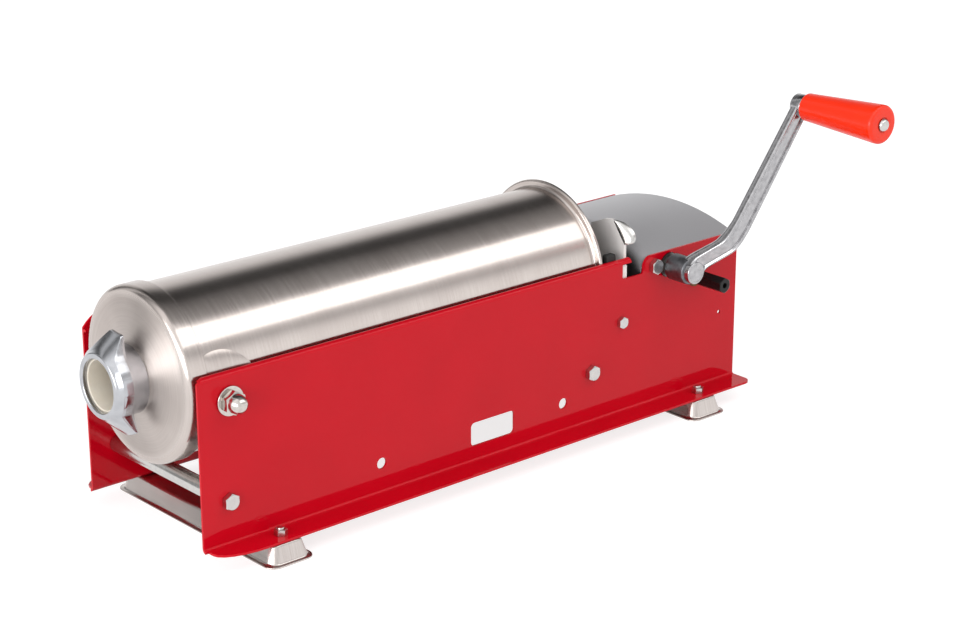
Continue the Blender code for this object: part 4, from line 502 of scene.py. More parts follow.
low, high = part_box("fast_shaft")
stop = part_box("side_panel_near")[0].y + HEX_END
rings = ((low.y + HOLE_DEPTH, 0), (low.y + HOLE_DEPTH, HOLE), (low.y + HOLE_LEAD, HOLE),
         (low.y, HOLE + HOLE_LEAD), (low.y, HEX_FLATS / 2 * FACE_SHARE), (low.y, "chamfer", -1),
         (stop, "hex"), (stop + SHAFT_EDGE, FAST_SHAFT), (high.y - SHAFT_EDGE, FAST_SHAFT),
         (high.y, FAST_SHAFT - SHAFT_EDGE), (high.y, 0))
piece = hex_piece("fast_shaft_turned", rings, on_axis("large_gear"), "y", HEX_FLATS)
dress(piece, "fast_train", "blackened_steel", black, "fast_shaft")

# Piston: an ivory plastic disc with a black lip seal, a stainless backing plate and a bolt into the rack.
# It fills the tube's front end at rest, and shows only through the outlet.
# The second value is how near other surfaces stand for the painted shade in the ivory's deep places.
BLOOM, IVORY_SHADE_REACH = 0.02, 0.03


def paint_crevice_shade(material, tone, reach, span, colour):
    """Darken a tone towards a colour where other surfaces stand within reach, as painted shade in crevices."""
    open_to = add(material, "AmbientOcclusion", {"Distance": reach}, samples=8).outputs["AO"]
    unshaded = add(material, "MapRange", {"Value": open_to, "From Min": span[0], "From Max": span[1]})
    mixed = {0: unshaded.outputs["Result"], 6: linear(colour), 7: tone}
    link(material, add(material, "Mix", mixed, data_type="RGBA").outputs[2], "Base Color")


# Ivory polyethylene: warm white and faintly waxy, as light goes a little way in, with painted shade in deep
# places.
ivory = finish("moulded_ivory_polyethylene", "#EEE5D6", 0.40, 0.0, Subsurface_Weight=0.15,
               Subsurface_Radius=(0.004, 0.003, 0.002), Subsurface_Scale=1.0)
paint_crevice_shade(ivory, mottled(ivory, BLOOM, 3.0, ("#E8DECD", "#F4EDE0")), IVORY_SHADE_REACH, (0.25, 1.0), "#6E655C")
recoat(ivory, "ivory_plastic", "piston")
recoat(rubber, "black_rubber", "piston_seal")
recoat(plate_steel, "brushed_stainless", "piston_backing")

# Cylinder tube: 1.5 mm stainless sheet, rolled and welded to 140 mm bore, ground and brushed round its
# outside. Its rear edge is rolled outward into a thick rim.
low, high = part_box("cylinder_tube")
AXIS = (0.0, (low.y + high.y) / 2, (low.z + high.z) / 2)
TUBE_INSIDE, TUBE_OUTSIDE, TUBE_SIDES = 0.070, 0.0715, 256
RIM_DEPTH, RIM_INSIDE_BEND, RIM_OUTSIDE_BEND, BEAD_POINTS = 0.0042, 0.0035, 0.0026, 13
bead_radius = RIM_DEPTH / 2
crest = (high.z - low.z) / 2 - bead_radius
half_turn = np.linspace(0, np.pi, BEAD_POINTS)
over_rim = [high.x - bead_radius + bead_radius * np.cos(half_turn), crest + bead_radius * np.sin(half_turn)]
bead = np.stack(over_rim, axis=1)
rim_front = high.x - RIM_DEPTH
inside_line = ((low.x, TUBE_INSIDE), (rim_front, TUBE_INSIDE, RIM_INSIDE_BEND),
               (high.x, TUBE_INSIDE + RIM_DEPTH))
outside_line = ((rim_front, crest), (rim_front, TUBE_OUTSIDE, RIM_OUTSIDE_BEND), (low.x, TUBE_OUTSIDE))
wall = np.concatenate([rounded(inside_line), bead, rounded(outside_line, steps=8)])

# Steel brushed round: long bright and dark bands along the tube, with fine lines across them.
tube_steel = stainless("stainless_tube_brushed_round", ("#C0B6B1", "#CFC6C1"), 0.2, 0.85, 0.000004)[0]
piece = turned("cylinder_tube_rolled", wall, AXIS, "x", TUBE_SIDES)
dress(piece, "frame", "brushed_stainless", tube_steel, "cylinder_tube")

# Front cap: spun from stainless sheet over the tube's front end, domed, with a neck for the outlet. It is
# brushed while it turns, so that its face shows bright and dark wedges round the axis.
low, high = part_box("front_cap")
CAP_OUTSIDE = (high.z - low.z) / 2
CAP_DEPTH, BULGE, CAP_SHEET, SKIRT_WALL, CAP_CORNER = 0.0313, 0.0046, 0.0026, 0.0027, 0.0055
NECK, NECK_BORE, NECK_EDGE, NECK_FILLET, NECK_DRAFT = 0.026, 0.0225, 0.0006, 0.0042, 0.0002
DOME_WIDTH, DOME_BEND, SKIRT_EDGE = 0.010, 0.02, 0.0007
INSIDE_CORNER, INSIDE_WIDTH, INSIDE_BEND, BORE_BEND = 0.001, 0.006, 0.004, 0.002
FACE_ROUGHER, FACE_END, FACE_FADE = 0.24, 0.0060, 0.006
face = low.x + CAP_DEPTH
inside = face + CAP_SHEET
skirt = CAP_OUTSIDE - SKIRT_WALL
line = ((low.x, NECK_BORE + NECK_EDGE), (low.x, NECK, NECK_EDGE),
        (face - BULGE - NECK_DRAFT, NECK, NECK_FILLET),
        (face - BULGE, NECK + DOME_WIDTH, DOME_BEND), (face, CAP_OUTSIDE, CAP_CORNER),
        (high.x, CAP_OUTSIDE, SKIRT_EDGE), (high.x, skirt), (inside, skirt, INSIDE_CORNER),
        (inside - BULGE, NECK + INSIDE_WIDTH, INSIDE_BEND), (inside - BULGE, NECK_BORE, BORE_BEND),
        (low.x + NECK_EDGE, NECK_BORE), (low.x, NECK_BORE + NECK_EDGE))
line = rounded(line, steps=8)[:-1]

# Spun steel: the face is rougher than the skirt, so that its wedges blur; the skirt keeps the tube's bands.
cap_steel, spread = stainless("stainless_cap_spun", ("#BDB3AE", "#CEC5C0"), 0.2, 0.93, 0.000003)
run = np.concatenate([[0], np.cumsum(np.hypot(*np.diff(line, axis=0).T))])
corner = run[np.argmax(line[:, 1] > CAP_OUTSIDE - FACE_END)]
grain = add(cap_steel, "UVMap", uv_map="grain").outputs["UV"]
fan = {"Value": add(cap_steel, "SeparateXYZ", {0: grain}).outputs["X"],
       "From Min": corner - FACE_FADE, "From Max": corner, "To Min": FACE_ROUGHER, "To Max": 0.0}
fan = add(cap_steel, "MapRange", fan).outputs["Result"]
link(cap_steel, add(cap_steel, "Math", {0: fan, 1: spread}, operation="ADD").outputs[0], "Roughness")
piece = turned("front_cap_spun", line, AXIS, "x", TUBE_SIDES)
dress(piece, "frame", "brushed_stainless", cap_steel, "front_cap")

# Liner: a turned sleeve of ivory food plastic, pushed into the neck. Its flange stands before the neck, where
# the ring nut's lip holds it.
LINER_BORE, LINER_OUTSIDE, LINER_FLANGE, LINER_SIDES = 0.0206, 0.0222, 0.0015, 128
LINER_EDGE, LINER_LEAD = 0.0003, 0.0006
low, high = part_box("outlet_liner")
outer = (high.z - low.z) / 2
behind_flange = low.x + LINER_FLANGE
line = ((high.x, LINER_BORE), (high.x, LINER_OUTSIDE, LINER_EDGE), (behind_flange, LINER_OUTSIDE),
        (behind_flange, outer, LINER_EDGE), (low.x, outer, LINER_EDGE), (low.x, LINER_BORE, LINER_LEAD),
        (high.x, LINER_BORE))
piece = turned("outlet_liner_turned", rounded(line)[:-1], AXIS, "x", LINER_SIDES)
dress(piece, "frame", "ivory_plastic", ivory, "outlet_liner")

# Ring nut: cast zinc alloy, polished and plated with satin chrome, with two lugs swept back from its nose. It
# screws on the neck and holds the filling tube's collar against the liner.
NOSE, BODY, COLLAR, LIP_BORE, NUT_BORE = 0.0275, 0.0312, 0.029, 0.0225, 0.0263
LIP_DEEP, LIP_ROUND, NOSE_ROUND, FINE_STEP, NOSE_RUN = 0.0037, 0.0009, 0.0016, 0.0004, (0.0040, 0.0015)
LUG_TIP, LUG_ROOT, LUG_REACH, LUG_OVERLAP = 0.0080, 0.0150, 0.0445, 0.93
LUGS = ((94, 0.042), (249, 0.0445))
SWEEP, SWEEP_REACH, SWEEP_START = 0.0153, 0.042, 0.0014
BACK_AT_BODY, BACK_AT_TIP, COLLAR_AT = 0.0135, 0.0042, 0.0131
EDGE_WIDTH, WALL_MARGIN, EDGE_MIDWAY, EDGE_SHY = 0.0009, 0.0006, 0.0003, 0.0002
COLLAR_FROM, COLLAR_EDGE, COLLAR_LEAD, BORE_END = 0.0128, 0.0006, 0.0004, 0.0041
NUT_SIDES, SLOPE_RINGS, WALL_RINGS = 360, np.linspace(0.12, 1, 9), np.linspace(0.2, 1, 5)
BLEND, LUG_BLEND, LEAST_COSINE = 900.0, 2500, 0.05
CHROME_HAZE, HAZE_DEPTH = 0.008, 0.00005


def lug_outline():
    """Reach of the winged plate at each turn: the furthest of the ring's circle and two straight sided lugs.

    A lug has a flat tip, reach = its length / cos(turn), and straight sides that widen to its root. The two
    are joined by a soft minimum, and the lugs with the circle by a soft maximum.
    """
    turn = np.linspace(0, 2 * np.pi, NUT_SIDES, endpoint=False)
    total = np.exp(BLEND * BODY * np.ones(NUT_SIDES))
    for middle, far in LUGS:
        off = np.abs((turn - np.radians(middle) + np.pi) % (2 * np.pi) - np.pi)
        cosine = np.maximum(np.cos(off), LEAST_COSINE)
        taper = (LUG_ROOT - LUG_TIP) / (far - BODY * LUG_OVERLAP)
        flank = (LUG_TIP + taper * far) / (np.sin(off) + taper * cosine)
        lug = -np.logaddexp(-LUG_BLEND * far / cosine, -LUG_BLEND * flank) / LUG_BLEND
        total = total + np.exp(BLEND * np.where(off < np.pi / 2, lug, 0))
    return np.minimum(np.log(total) / BLEND, LUG_REACH)


# Satin chrome: cool grey with soft bright streaks, as the cast surface below it isn't quite even.
chrome = finish("chromium_plate_satin", "#B2B4B9", 0.2, 1.0)
mottled(chrome, CHROME_HAZE, 4.0, ("#A6A8AD", "#C6C7CB"), (0.13, 0.22), (0.3, 0.7),
        ((CHROME_HAZE, 4.0, 1.0, HAZE_DEPTH),))
low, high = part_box("ring_nut")
outline = lug_outline()
circle = np.ones(NUT_SIDES)
out_on_lug = np.clip((outline - BODY) / (LUG_REACH - BODY), 0, 1)
slope = SWEEP / (SWEEP_REACH - NOSE)
nose_line = ((low.x + LIP_DEEP, LIP_BORE), (low.x, LIP_BORE, LIP_ROUND),
             (low.x, NOSE - FINE_STEP, NOSE_ROUND), (low.x + NOSE_RUN[0], NOSE + NOSE_RUN[1]))
rings = [(depth * circle, radius * circle) for depth, radius in rounded(nose_line, steps=6)[:-1]]
for share in SLOPE_RINGS:
    reach = NOSE + FINE_STEP + (outline - WALL_MARGIN - NOSE) * share
    rings.append((low.x + SWEEP_START + (reach - NOSE) * slope, reach))
front = low.x + SWEEP_START + (outline - NOSE) * slope
back = high.x - BACK_AT_BODY + BACK_AT_TIP * out_on_lug
edge = front + EDGE_WIDTH
rings += [(front + EDGE_MIDWAY, outline - EDGE_SHY), (edge, outline)]
rings += [(edge + (back - WALL_MARGIN - edge) * share, outline) for share in WALL_RINGS]
rings += [(back - EDGE_SHY / 2, outline - EDGE_MIDWAY), (back, outline - EDGE_WIDTH),
          ((high.x - COLLAR_AT) * circle, (COLLAR + FINE_STEP) * circle)]
collar_line = ((high.x - COLLAR_FROM, COLLAR), (high.x, COLLAR, COLLAR_EDGE), (high.x, NUT_BORE, COLLAR_LEAD),
               (low.x + BORE_END, NUT_BORE))
rings += [(depth * circle, radius * circle) for depth, radius in rounded(collar_line, steps=3)]
depths, reaches = (np.array(values) for values in zip(*rings))
piece = ringed("ring_nut_cast", depths, reaches, AXIS, "x", sharp=32)
dress(piece, "outlet_nut", "chrome", chrome, "ring_nut")

# Pivots: a pad welded to the tube on each side with a stud through the panel, a washer and a dome nut, all
# stainless. The dome nut's hexagon has the same chamfer as the bolts.
PAD, PAD_CROWN, PAD_FALL, PAD_SEAT, PAD_ROUNDING, PAD_SIDES = 0.037, 0.0733, 0.0013, 0.0716, 6, 96
PAD_LAYERS, UNDER_LAYERS = np.linspace(0, 1, 24), np.linspace(0.9, 0, 6)
WASHER_BORE, WASHER_EDGE, WASHER_SIDES = 0.0064, 0.0006, 72
NUT_HEX, NUT_THREAD, THREAD_DEPTH, NUT_SEAT_EDGE = 0.007, 0.0063, 0.0125, 0.0002
DOME, DOME_FOOT, DOME_START, DOME_POINTS = 0.9, 0.93, 0.0012, 12
POLISH_CLOUD = 0.003

# Polished stainless: sharp bright and dark glints, a little warmer than the zinc.
nut_steel = finish("polished_stainless_nut", "#C8C2BD", 0.2, 1.0)
mottled(nut_steel, POLISH_CLOUD, 3.0, ("#B5AFAA", "#D8D3CE"), (0.08, 0.22))
pad_steel = stainless("stainless_pad_brushed", ("#C0B6B1", "#CFC6C1"), 0.24, 0.6, 0.000003)[0]
for side, outward in (("near", -1), ("far", 1)):
    pad, stud, washer = (f"pivot_{name}_{side}" for name in ("pad", "stud", "washer"))
    nut = f"dome_nut_{side}"
    low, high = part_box(pad)
    pivot = middle_of(stud)[[0, 2]]
    focus = np.array([(low.x + high.x) / 2, pivot[1]])
    turn = np.linspace(0, 2 * np.pi, PAD_SIDES, endpoint=False)
    way = np.stack([np.cos(turn), np.sin(turn)], axis=1)
    lean = way @ (focus - pivot)
    to_circle = -lean + np.sqrt(lean ** 2 - ((focus - pivot) ** 2).sum() + PAD ** 2)
    to_line = np.where(way[:, 0] < 0, (low.x - focus[0]) / np.minimum(way[:, 0], -1e-6), 1)
    reach = np.minimum(to_circle, to_line)
    layers = [(share, PAD_CROWN - PAD_FALL * share ** PAD_ROUNDING) for share in PAD_LAYERS]
    layers += [(1, PAD_SEAT)] + [(share, PAD_SEAT) for share in UNDER_LAYERS]
    share, shell = np.array(layers).T
    spot = focus + share[:, None, None] * reach[None, :, None] * way
    depth = AXIS[1] + outward * np.sqrt(shell[:, None] ** 2 - (spot[..., 1] - AXIS[2]) ** 2)
    points = np.stack([spot[..., 0], depth, spot[..., 1]], axis=-1)
    piece = surface(f"{pad}_welded", points, grain=flat_grain(spot))
    dress(piece, "frame", "brushed_stainless", pad_steel, pad)
    recoat(plate_steel, "brushed_stainless", stud)
    low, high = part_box(washer)
    rim = (high.x - low.x) / 2
    line = ((low.y, WASHER_BORE), (low.y, rim, WASHER_EDGE), (high.y, rim, WASHER_EDGE),
            (high.y, WASHER_BORE), (low.y, WASHER_BORE))
    piece = turned(f"{washer}_punched", rounded(line)[:-1], on_axis(washer), "y", WASHER_SIDES)
    dress(piece, "frame", "chrome", nut_steel, washer)
    low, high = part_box(nut)
    half = (high.x - low.x) / 2
    seat, tip = (high.y, low.y) if outward < 0 else (low.y, high.y)
    hex_top = seat + outward * NUT_HEX
    foot = hex_top + outward * DOME_START
    quarter = np.linspace(0, np.pi / 2, DOME_POINTS)
    crown = [(foot + (tip - foot) * np.sin(rise), half * DOME * np.cos(rise)) for rise in quarter]
    thread_end = seat + outward * THREAD_DEPTH
    rings = [(thread_end, 0), (thread_end, NUT_THREAD), (seat, NUT_THREAD), (seat, half * FACE_SHARE),
             (seat + outward * NUT_SEAT_EDGE, "chamfer", -outward), (hex_top, "chamfer", outward),
             (hex_top, half * DOME_FOOT), *crown]
    piece = hex_piece(f"{nut}_domed", rings, on_axis(washer), "y", 2 * half)
    dress(piece, "frame", "chrome", nut_steel, nut)

# Gear hood: 1.2 mm sheet over the gears, arched across, rounded down at its front, and sprayed metallic grey.
# Hexagon bolts hold its tabs inside the panels.
HOOD_EDGE, HOOD_FOLD = 0.0004, 50
# The last value is how near other surfaces stand for the hood's painted shade by the plate.
MIST, FLAKE, FLAKE_DEPTH, HOOD_SHADE_REACH = 0.09, 0.0009, 0.00002, 0.045

# Metallic grey enamel: a soft satin sheen with a fine grain, and painted shade in the crevice by the plate.
grey = finish("satin_metallic_grey_enamel", "#B4B3B6", 0.46, 0.6)
tone = mottled(grey, MIST, 1.0, ("#BDBCBF", "#C8C7CA"), relief=((FLAKE, 2.0, 0.6, FLAKE_DEPTH),))
paint_crevice_shade(grey, tone, HOOD_SHADE_REACH, (0.35, 0.85), "#141416")
dress(softened("gear_hood", HOOD_EDGE, HOOD_FOLD), "frame", "grey_enamel", grey, "gear_hood")

# Crank: one gravity casting in zinc alloy. The boss is left as cast and dull; the arm and the grip's eye are
# tumbled bright, with a shallow recess between two raised edges and a deeper groove inside each.
shaft_axis, grip_axis = middle_of("slow_shaft"), middle_of("grip_pin")
SOCKET, HUB, HUB_FACE, HUB_EDGE, HUB_BEND, HUB_STEP_EDGE = 0.0078, 0.0123, 0.0106, 0.0012, 0.0016, 0.0006
HUB_FRONT, HUB_SHOULDER, HUB_STEP, HUB_END = 0.0026, 0.0068, 0.0060, 0.0052
BOSS_DEEP, BOSS_IN, BOSS_EDGE, DISH_EDGE, DISH_DEEP = 0.0080, 0.0004, 0.0011, 0.0004, 0.0004
DISH_OUT, DISH_IN = 0.0022, 0.0028
BOSS_SIDES = 72
ARM_HALF, EYE_HALF, ARM_END, ARM_STEPS, ARM_MARGIN, SLIDING = 0.0100, 0.0085, 0.1745, 440, 0.02, 13
ARM_START, ARM_AT_GRIP, BENT_BY = 0.0050, 0.0072, 0.054
STATIONS = (0, 0.0085, 0.0125, 0.032, 0.042, BENT_BY)
DEPTH_SHARES = (0, 0.01, 0.14, 0.84, 0.955, 1.0, 1.0)
HUB_THICKER, THICK_TO = 2.2, 0.016
RIDGE = ((1.0, -0.0045, 0.0022), (0.74, -0.0045, 0.0009), (0.64, -0.0018, 0.0004), (0.52, -0.0018, 0.0004),
         (0.42, -0.0030, 0.0008))
RECESS_DEPTH, ARM_BACK, ARM_BACK_EDGE = -0.0033, 0.0045, 0.0030
EYE, EYE_BACK, EYE_FRONT, EYE_EDGE, EYE_FRONT_EDGE = 0.0105, 0.0122, 0.0003, 0.0011, 0.0009
CAST_SKIN, AS_CAST_DEPTH, TUMBLED_DEPTH = 0.0045, 0.0003, 0.00016

# Zinc as cast: blotched dark and light grey, with a coarse skin that breaks up its reflections.
cast_dull = finish("cast_zinc_dull", "#85868A", 0.42, 1.0)
mottled(cast_dull, CAST_SKIN, 6.0, ("#46474B", "#8A8B8F"), (0.26, 0.5),
        relief=((CAST_SKIN, 6.0, 1.0, AS_CAST_DEPTH),))

# Tumbled zinc: brighter and smoother, with the same skin worn down to soft ripples.
cast_bright = finish("cast_zinc_tumbled", "#C4C3C5", 0.18, 1.0)
mottled(cast_bright, CAST_SKIN, 6.0, ("#8B8A8D", "#CDCCCE"), (0.12, 0.26), (0.3, 0.7),
        ((CAST_SKIN, 6.0, 1.0, TUMBLED_DEPTH),))

hub_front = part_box("slow_shaft")[0].y - HUB_FRONT
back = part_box("crank_arm")[1].y
line = ((back, SOCKET), (back, HUB, HUB_EDGE), (hub_front + HUB_SHOULDER, HUB, HUB_BEND),
        (hub_front + HUB_STEP, HUB_FACE, HUB_STEP_EDGE), (hub_front + HUB_END, 0))
hub = turned("crank_hub_cast", rounded(line), on_axis("slow_shaft"), "y", BOSS_SIDES)
dress(hub, "crank", "cast_crank", cast_dull, "crank_arm")
line = ((hub_front + BOSS_DEEP, 0), (hub_front + BOSS_DEEP, HUB_FACE - BOSS_IN),
        (hub_front, HUB_FACE, BOSS_EDGE), (hub_front, HUB_FACE - DISH_OUT, DISH_EDGE),
        (hub_front + DISH_DEEP, HUB_FACE - DISH_IN, DISH_EDGE), (hub_front + DISH_DEEP, 0))
piece = turned("crank_boss_face", rounded(line), on_axis("slow_shaft"), "y", BOSS_SIDES)
dress(piece, "crank", "cast_crank", cast_bright, "crank_arm")


def crank_blade():
    """Sweep the arm's section along its reach from the shaft's axis, and close it to a point at both ends.

    Its depth follows the straight runs between the stations, smoothed by a sliding mean. The section's across
    runs at right angles to the arm in its plane of swing, narrowed evenly to the eye, and its back is thicker
    by the hub. A ridge's corners are (share of the half width, depth, radius).
    """
    swing = np.array([grip_axis[0] - shaft_axis[0], grip_axis[2] - shaft_axis[2]])
    length = np.linalg.norm(swing)
    out, left = swing / length, np.array([-swing[1], swing[0]]) / length
    reach = np.linspace(-ARM_MARGIN, length + ARM_MARGIN, ARM_STEPS)
    start, far = hub_front + ARM_START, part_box("grip")[1].y + ARM_AT_GRIP
    depth = np.interp(reach, (*STATIONS, length), start + (far - start) * np.array(DEPTH_SHARES))
    depth = np.convolve(np.pad(depth, SLIDING // 2, mode="edge"), np.ones(SLIDING) / SLIDING, mode="valid")
    keep = (reach >= 0.0) & (reach <= ARM_END)
    reach, depth = reach[keep], depth[keep]
    half = np.interp(reach, [0, BENT_BY, length], [ARM_HALF, ARM_HALF, EYE_HALF])
    other_ridge = [(-a, b, edge) for a, b, edge in RIDGE[::-1]]
    corners = ((0.0, ARM_BACK), (1.0, ARM_BACK, ARM_BACK_EDGE), *RIDGE, (0.0, RECESS_DEPTH), *other_ridge,
               (-1.0, ARM_BACK, ARM_BACK_EDGE), (0.0, ARM_BACK))
    section = rounded([(a * ARM_HALF, b, *rest) for a, b, *rest in corners], steps=5)[:-1]
    across = section[:, 0] / ARM_HALF * half[:, None]
    x = shaft_axis[0] + reach[:, None] * out[0] + across * left[0]
    z = shaft_axis[2] + reach[:, None] * out[1] + across * left[1]
    thick = np.interp(reach, [0, THICK_TO, BENT_BY], [HUB_THICKER, HUB_THICKER, 1.0])[:, None]
    y = depth[:, None] + section[:, 1] * np.where(section[:, 1] > 0, thick, 1)
    rows = np.stack([x, y, z], axis=-1)
    first, last = rows[:1].mean(axis=1, keepdims=True), rows[-1:].mean(axis=1, keepdims=True)
    first, last = (np.repeat(cap, rows.shape[1], axis=1) for cap in (first, last))
    return np.concatenate([first, rows, last])


blade = surface("crank_arm_tumbled", crank_blade(), closed=(False, True), sharp=45)
dress(blade, "crank", "cast_crank", cast_bright, "crank_arm")
low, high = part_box("grip")
line = ((high.y + EYE_BACK, 0), (high.y + EYE_BACK, EYE, EYE_EDGE), (high.y + EYE_FRONT, EYE, EYE_FRONT_EDGE),
        (high.y + EYE_FRONT, 0))
piece = turned("crank_eye", rounded(line), on_axis("grip_pin"), "y", BOSS_SIDES)
dress(piece, "crank", "cast_crank", cast_bright, "crank_arm")

# Grip: injection moulded orange red polypropylene, tapered towards the arm, free to turn on a zinc plated pin
# with a domed head, which sits in a shallow recess of the grip's end.
SMALL_END, LARGE_END, GRIP_BORE, GRIP_SIDES = 0.0128, 0.0176, 0.0043, 96
RECESS, RECESS_FLOOR, RECESS_RIM, RECESS_EDGE = 0.0014, 0.0062, 0.0068, 0.0003
LARGE_ROUND, SMALL_ROUND, LARGE_STRAIGHT, SMALL_STRAIGHT = 0.0030, 0.0022, 0.006, 0.004
PIN_HEAD, PIN_SHANK, PIN_EDGE, PIN_SIDES = 0.0035, 0.004, 0.0004, 48
PIN_CROWN, PIN_CROWN_SHARE, PIN_FALL = 0.003, 0.7, 0.0002
SPARK, SPARK_DEPTH, FLOW = 0.0006, 0.00001, 0.03

# Moulded polypropylene: a strong even orange red with a soft shine, which the mould's spark grain breaks up.
orange = finish("moulded_orange_polypropylene", "#FA371C", 0.26, 0.0, Specular_IOR_Level=0.4)
mottled(orange, FLOW, 2.0, ("#EA2806", "#F03009"), relief=((SPARK, 1.0, 0.5, SPARK_DEPTH),))
line = ((low.y + RECESS, GRIP_BORE), (low.y + RECESS, RECESS_FLOOR), (low.y, RECESS_RIM, RECESS_EDGE),
        (low.y, LARGE_END, LARGE_ROUND), (low.y + LARGE_STRAIGHT, LARGE_END),
        (high.y - SMALL_STRAIGHT, SMALL_END), (high.y, SMALL_END, SMALL_ROUND), (high.y, GRIP_BORE),
        (low.y + RECESS, GRIP_BORE))
piece = turned("grip_moulded", rounded(line, steps=8)[:-1], on_axis("grip_pin"), "y", GRIP_SIDES)
dress(piece, "crank_grip", "orange_grip", orange, "grip")
low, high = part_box("grip_pin")
head = (high.x - low.x) / 2
seat = low.y + PIN_HEAD
line = ((low.y, 0), (low.y + PIN_FALL, head * PIN_CROWN_SHARE, PIN_CROWN), (seat, head, PIN_EDGE),
        (seat, PIN_SHANK), (high.y, PIN_SHANK), (high.y, 0))
piece = turned("grip_pin_headed", rounded(line), on_axis("grip_pin"), "y", PIN_SIDES)
dress(piece, "crank", "bright_zinc", zinc, "grip_pin")

# Stage: a plain white table, a wide soft lamp above the crank's side, a lamp like a window at the outlet's
# side, and a pale studio round it, whose dark strip overhead and dark corner band the brushed steel.
TABLE_HALF, TABLE_GREY, SHADE_GREY, TABLE_GLOW = 15, 0.8, 0.42, 0.76
FROM_EAST, TO_WEST = 0.12, -0.22
OVERHEAD = (
    (-180, 1.2), (0, 1.2), (10, 1.25), (20, 1.12), (31, 0.66), (38, 0.8), (43, 1.35), (68, 1.35), (73, 0.6),
    (79, 0.42), (91, 0.29), (103, 0.17), (112, 0.055), (128, 0.05), (133, 0.14), (139, 0.42), (146, 0.75),
    (151, 0.88), (163, 1.0), (175, 1.1), (180, 1.2))
ROUND_ABOUT = (
    (-180, 1.0), (-90, 0.9), (-40, 1.2), (0, 1.4), (22, 1.1), (40, 0.45), (50, 0.16), (57, 0.8), (64, 0.8),
    (71, 0.14), (90, 0.1), (180, 0.1))

# White table: plain white with the object's shadow where the camera or a reflection sees it, and an ordinary
# pale surface for the light that it gives back.
corners = [(x * TABLE_HALF, y * TABLE_HALF, 0) for x, y in ((-1, -1), (1, -1), (1, 1), (-1, 1))]
stage_mesh = bpy.data.meshes.new("table")
stage_mesh.from_pydata(corners, [], [(0, 1, 2, 3)])
table = bpy.data.objects.new("table", stage_mesh)
bpy.context.scene.collection.objects.link(table)
white = bpy.data.materials.new("white_table")
white.use_nodes = True
white.node_tree.nodes.clear()
path = add(white, "LightPath").outputs
seen = add(white, "Math", {0: path["Is Camera Ray"], 1: path["Is Glossy Ray"]}, operation="MAXIMUM")
seen = add(white, "Math", {0: seen.outputs[0], 1: path["Is Transmission Ray"]}, operation="MAXIMUM")
lit = add(white, "BsdfDiffuse", {"Color": (*[TABLE_GREY] * 3, 1)})
shade = add(white, "BsdfDiffuse", {"Color": (*[SHADE_GREY] * 3, 1)})
glow = add(white, "Emission", {"Color": (1, 1, 1, 1), "Strength": TABLE_GLOW})
shown = add(white, "AddShader", {0: shade.outputs[0], 1: glow.outputs[0]})
mixed = add(white, "MixShader", {0: seen.outputs[0], 1: lit.outputs[0], 2: shown.outputs[0]})
add(white, "OutputMaterial", {"Surface": mixed.outputs[0]})
table.data.materials.append(white)

world = bpy.data.worlds.new("pale_studio")
bpy.context.scene.world = world
world.use_nodes = True
world.node_tree.nodes.clear()
split = add(world, "SeparateXYZ", {0: add(world, "TexCoord").outputs["Generated"]})
east, north, height = (split.outputs[name] for name in "XYZ")
south = add(world, "Math", {0: north, 1: -1.0}, operation="MULTIPLY").outputs[0]
west = add(world, "Math", {0: east, 1: -1.0}, operation="MULTIPLY").outputs[0]


def wall_of_light(first, second, levels):
    """Grey levels by the angle of atan2(first, second), as pairs of degrees and level from -180 to 180."""
    turn = add(world, "Math", {0: first, 1: second}, operation="ARCTAN2")
    place = add(world, "MapRange", {"Value": turn.outputs[0], "From Min": -math.pi, "From Max": math.pi})
    ramp = add(world, "ValToRGB", {"Fac": place.outputs["Result"]})
    bar = ramp.color_ramp
    for angle, level in levels[1:-1]:
        bar.elements.new((angle + 180) / 360).color = (level, level, level, 1)
    bar.elements[0].color = (*[levels[0][1]] * 3, 1)
    bar.elements[-1].color = (*[levels[-1][1]] * 3, 1)
    return ramp.outputs["Color"]


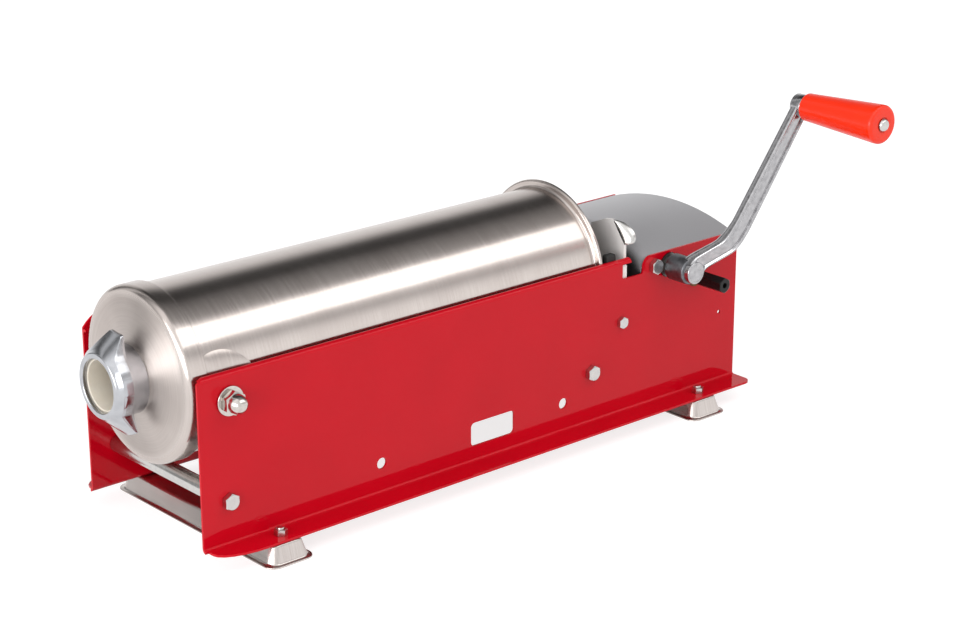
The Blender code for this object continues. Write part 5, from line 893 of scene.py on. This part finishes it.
over = wall_of_light(height, south, OVERHEAD)
left = wall_of_light(north, west, ROUND_ABOUT)
side = {"Value": east, "From Min": FROM_EAST, "From Max": TO_WEST}
side = add(world, "MapRange", side, interpolation_type="SMOOTHSTEP").outputs["Result"]
both = add(world, "Mix", {0: side, 6: over, 7: left}, data_type="RGBA")
sky = add(world, "Background", {"Color": both.outputs[2], "Strength": 1.0})
add(world, "OutputWorld", {"Surface": sky.outputs[0]})


def area_lamp(name, size, watts, place, target, colour):
    """A rectangular lamp of the given size at a place, turned so that it shines at its target."""
    light = bpy.data.lights.new(name, "AREA")
    light.shape = "RECTANGLE"
    light.size, light.size_y = size
    light.energy = watts
    light.color = colour
    lamp = bpy.data.objects.new(name, light)
    bpy.context.scene.collection.objects.link(lamp)
    lamp.location = place
    lamp.rotation_euler = (Vector(place) - Vector(target)).to_track_quat("Z", "Y").to_euler()


area_lamp("soft_box", (2.6, 0.85), watts=7.7, place=(0.7, -1.15, 1.75), target=(0.5, 0, 0.15),
          colour=(1.0, 0.985, 0.965))
area_lamp("window", (2.4, 1.0), watts=32.0, place=(-2.3, -0.45, 0.62), target=(0, 0, 0.2), colour=(1, 1, 1))

# Camera at the photograph's place: 87 mm lens, 19 degrees above the table, 41 degrees round from the crank's
# side towards the outlet.
CAMERA_PLACE = (-1.248675, -1.43396, 0.80185)
LENS_LENGTH, SENSOR = 87.34, 36
azimuth, elevation, roll = math.radians(-41.17), math.radians(19.21), math.radians(-0.11)
right = Vector((math.cos(azimuth), math.sin(azimuth), 0))
level = math.cos(elevation)
behind = Vector((math.sin(azimuth) * level, -math.cos(azimuth) * level, math.sin(elevation)))
up = behind.cross(right)
lens = bpy.data.cameras.new("camera")
lens.lens = LENS_LENGTH
lens.sensor_width = SENSOR
camera = bpy.data.objects.new("camera", lens)
bpy.context.scene.collection.objects.link(camera)
turned_to = Matrix((right, up, behind)).transposed().to_4x4() @ Matrix.Rotation(roll, 4, "Z")
camera.matrix_world = Matrix.Translation(CAMERA_PLACE) @ turned_to
bpy.context.scene.camera = camera
bpy.context.scene.view_settings.view_transform = "Standard"
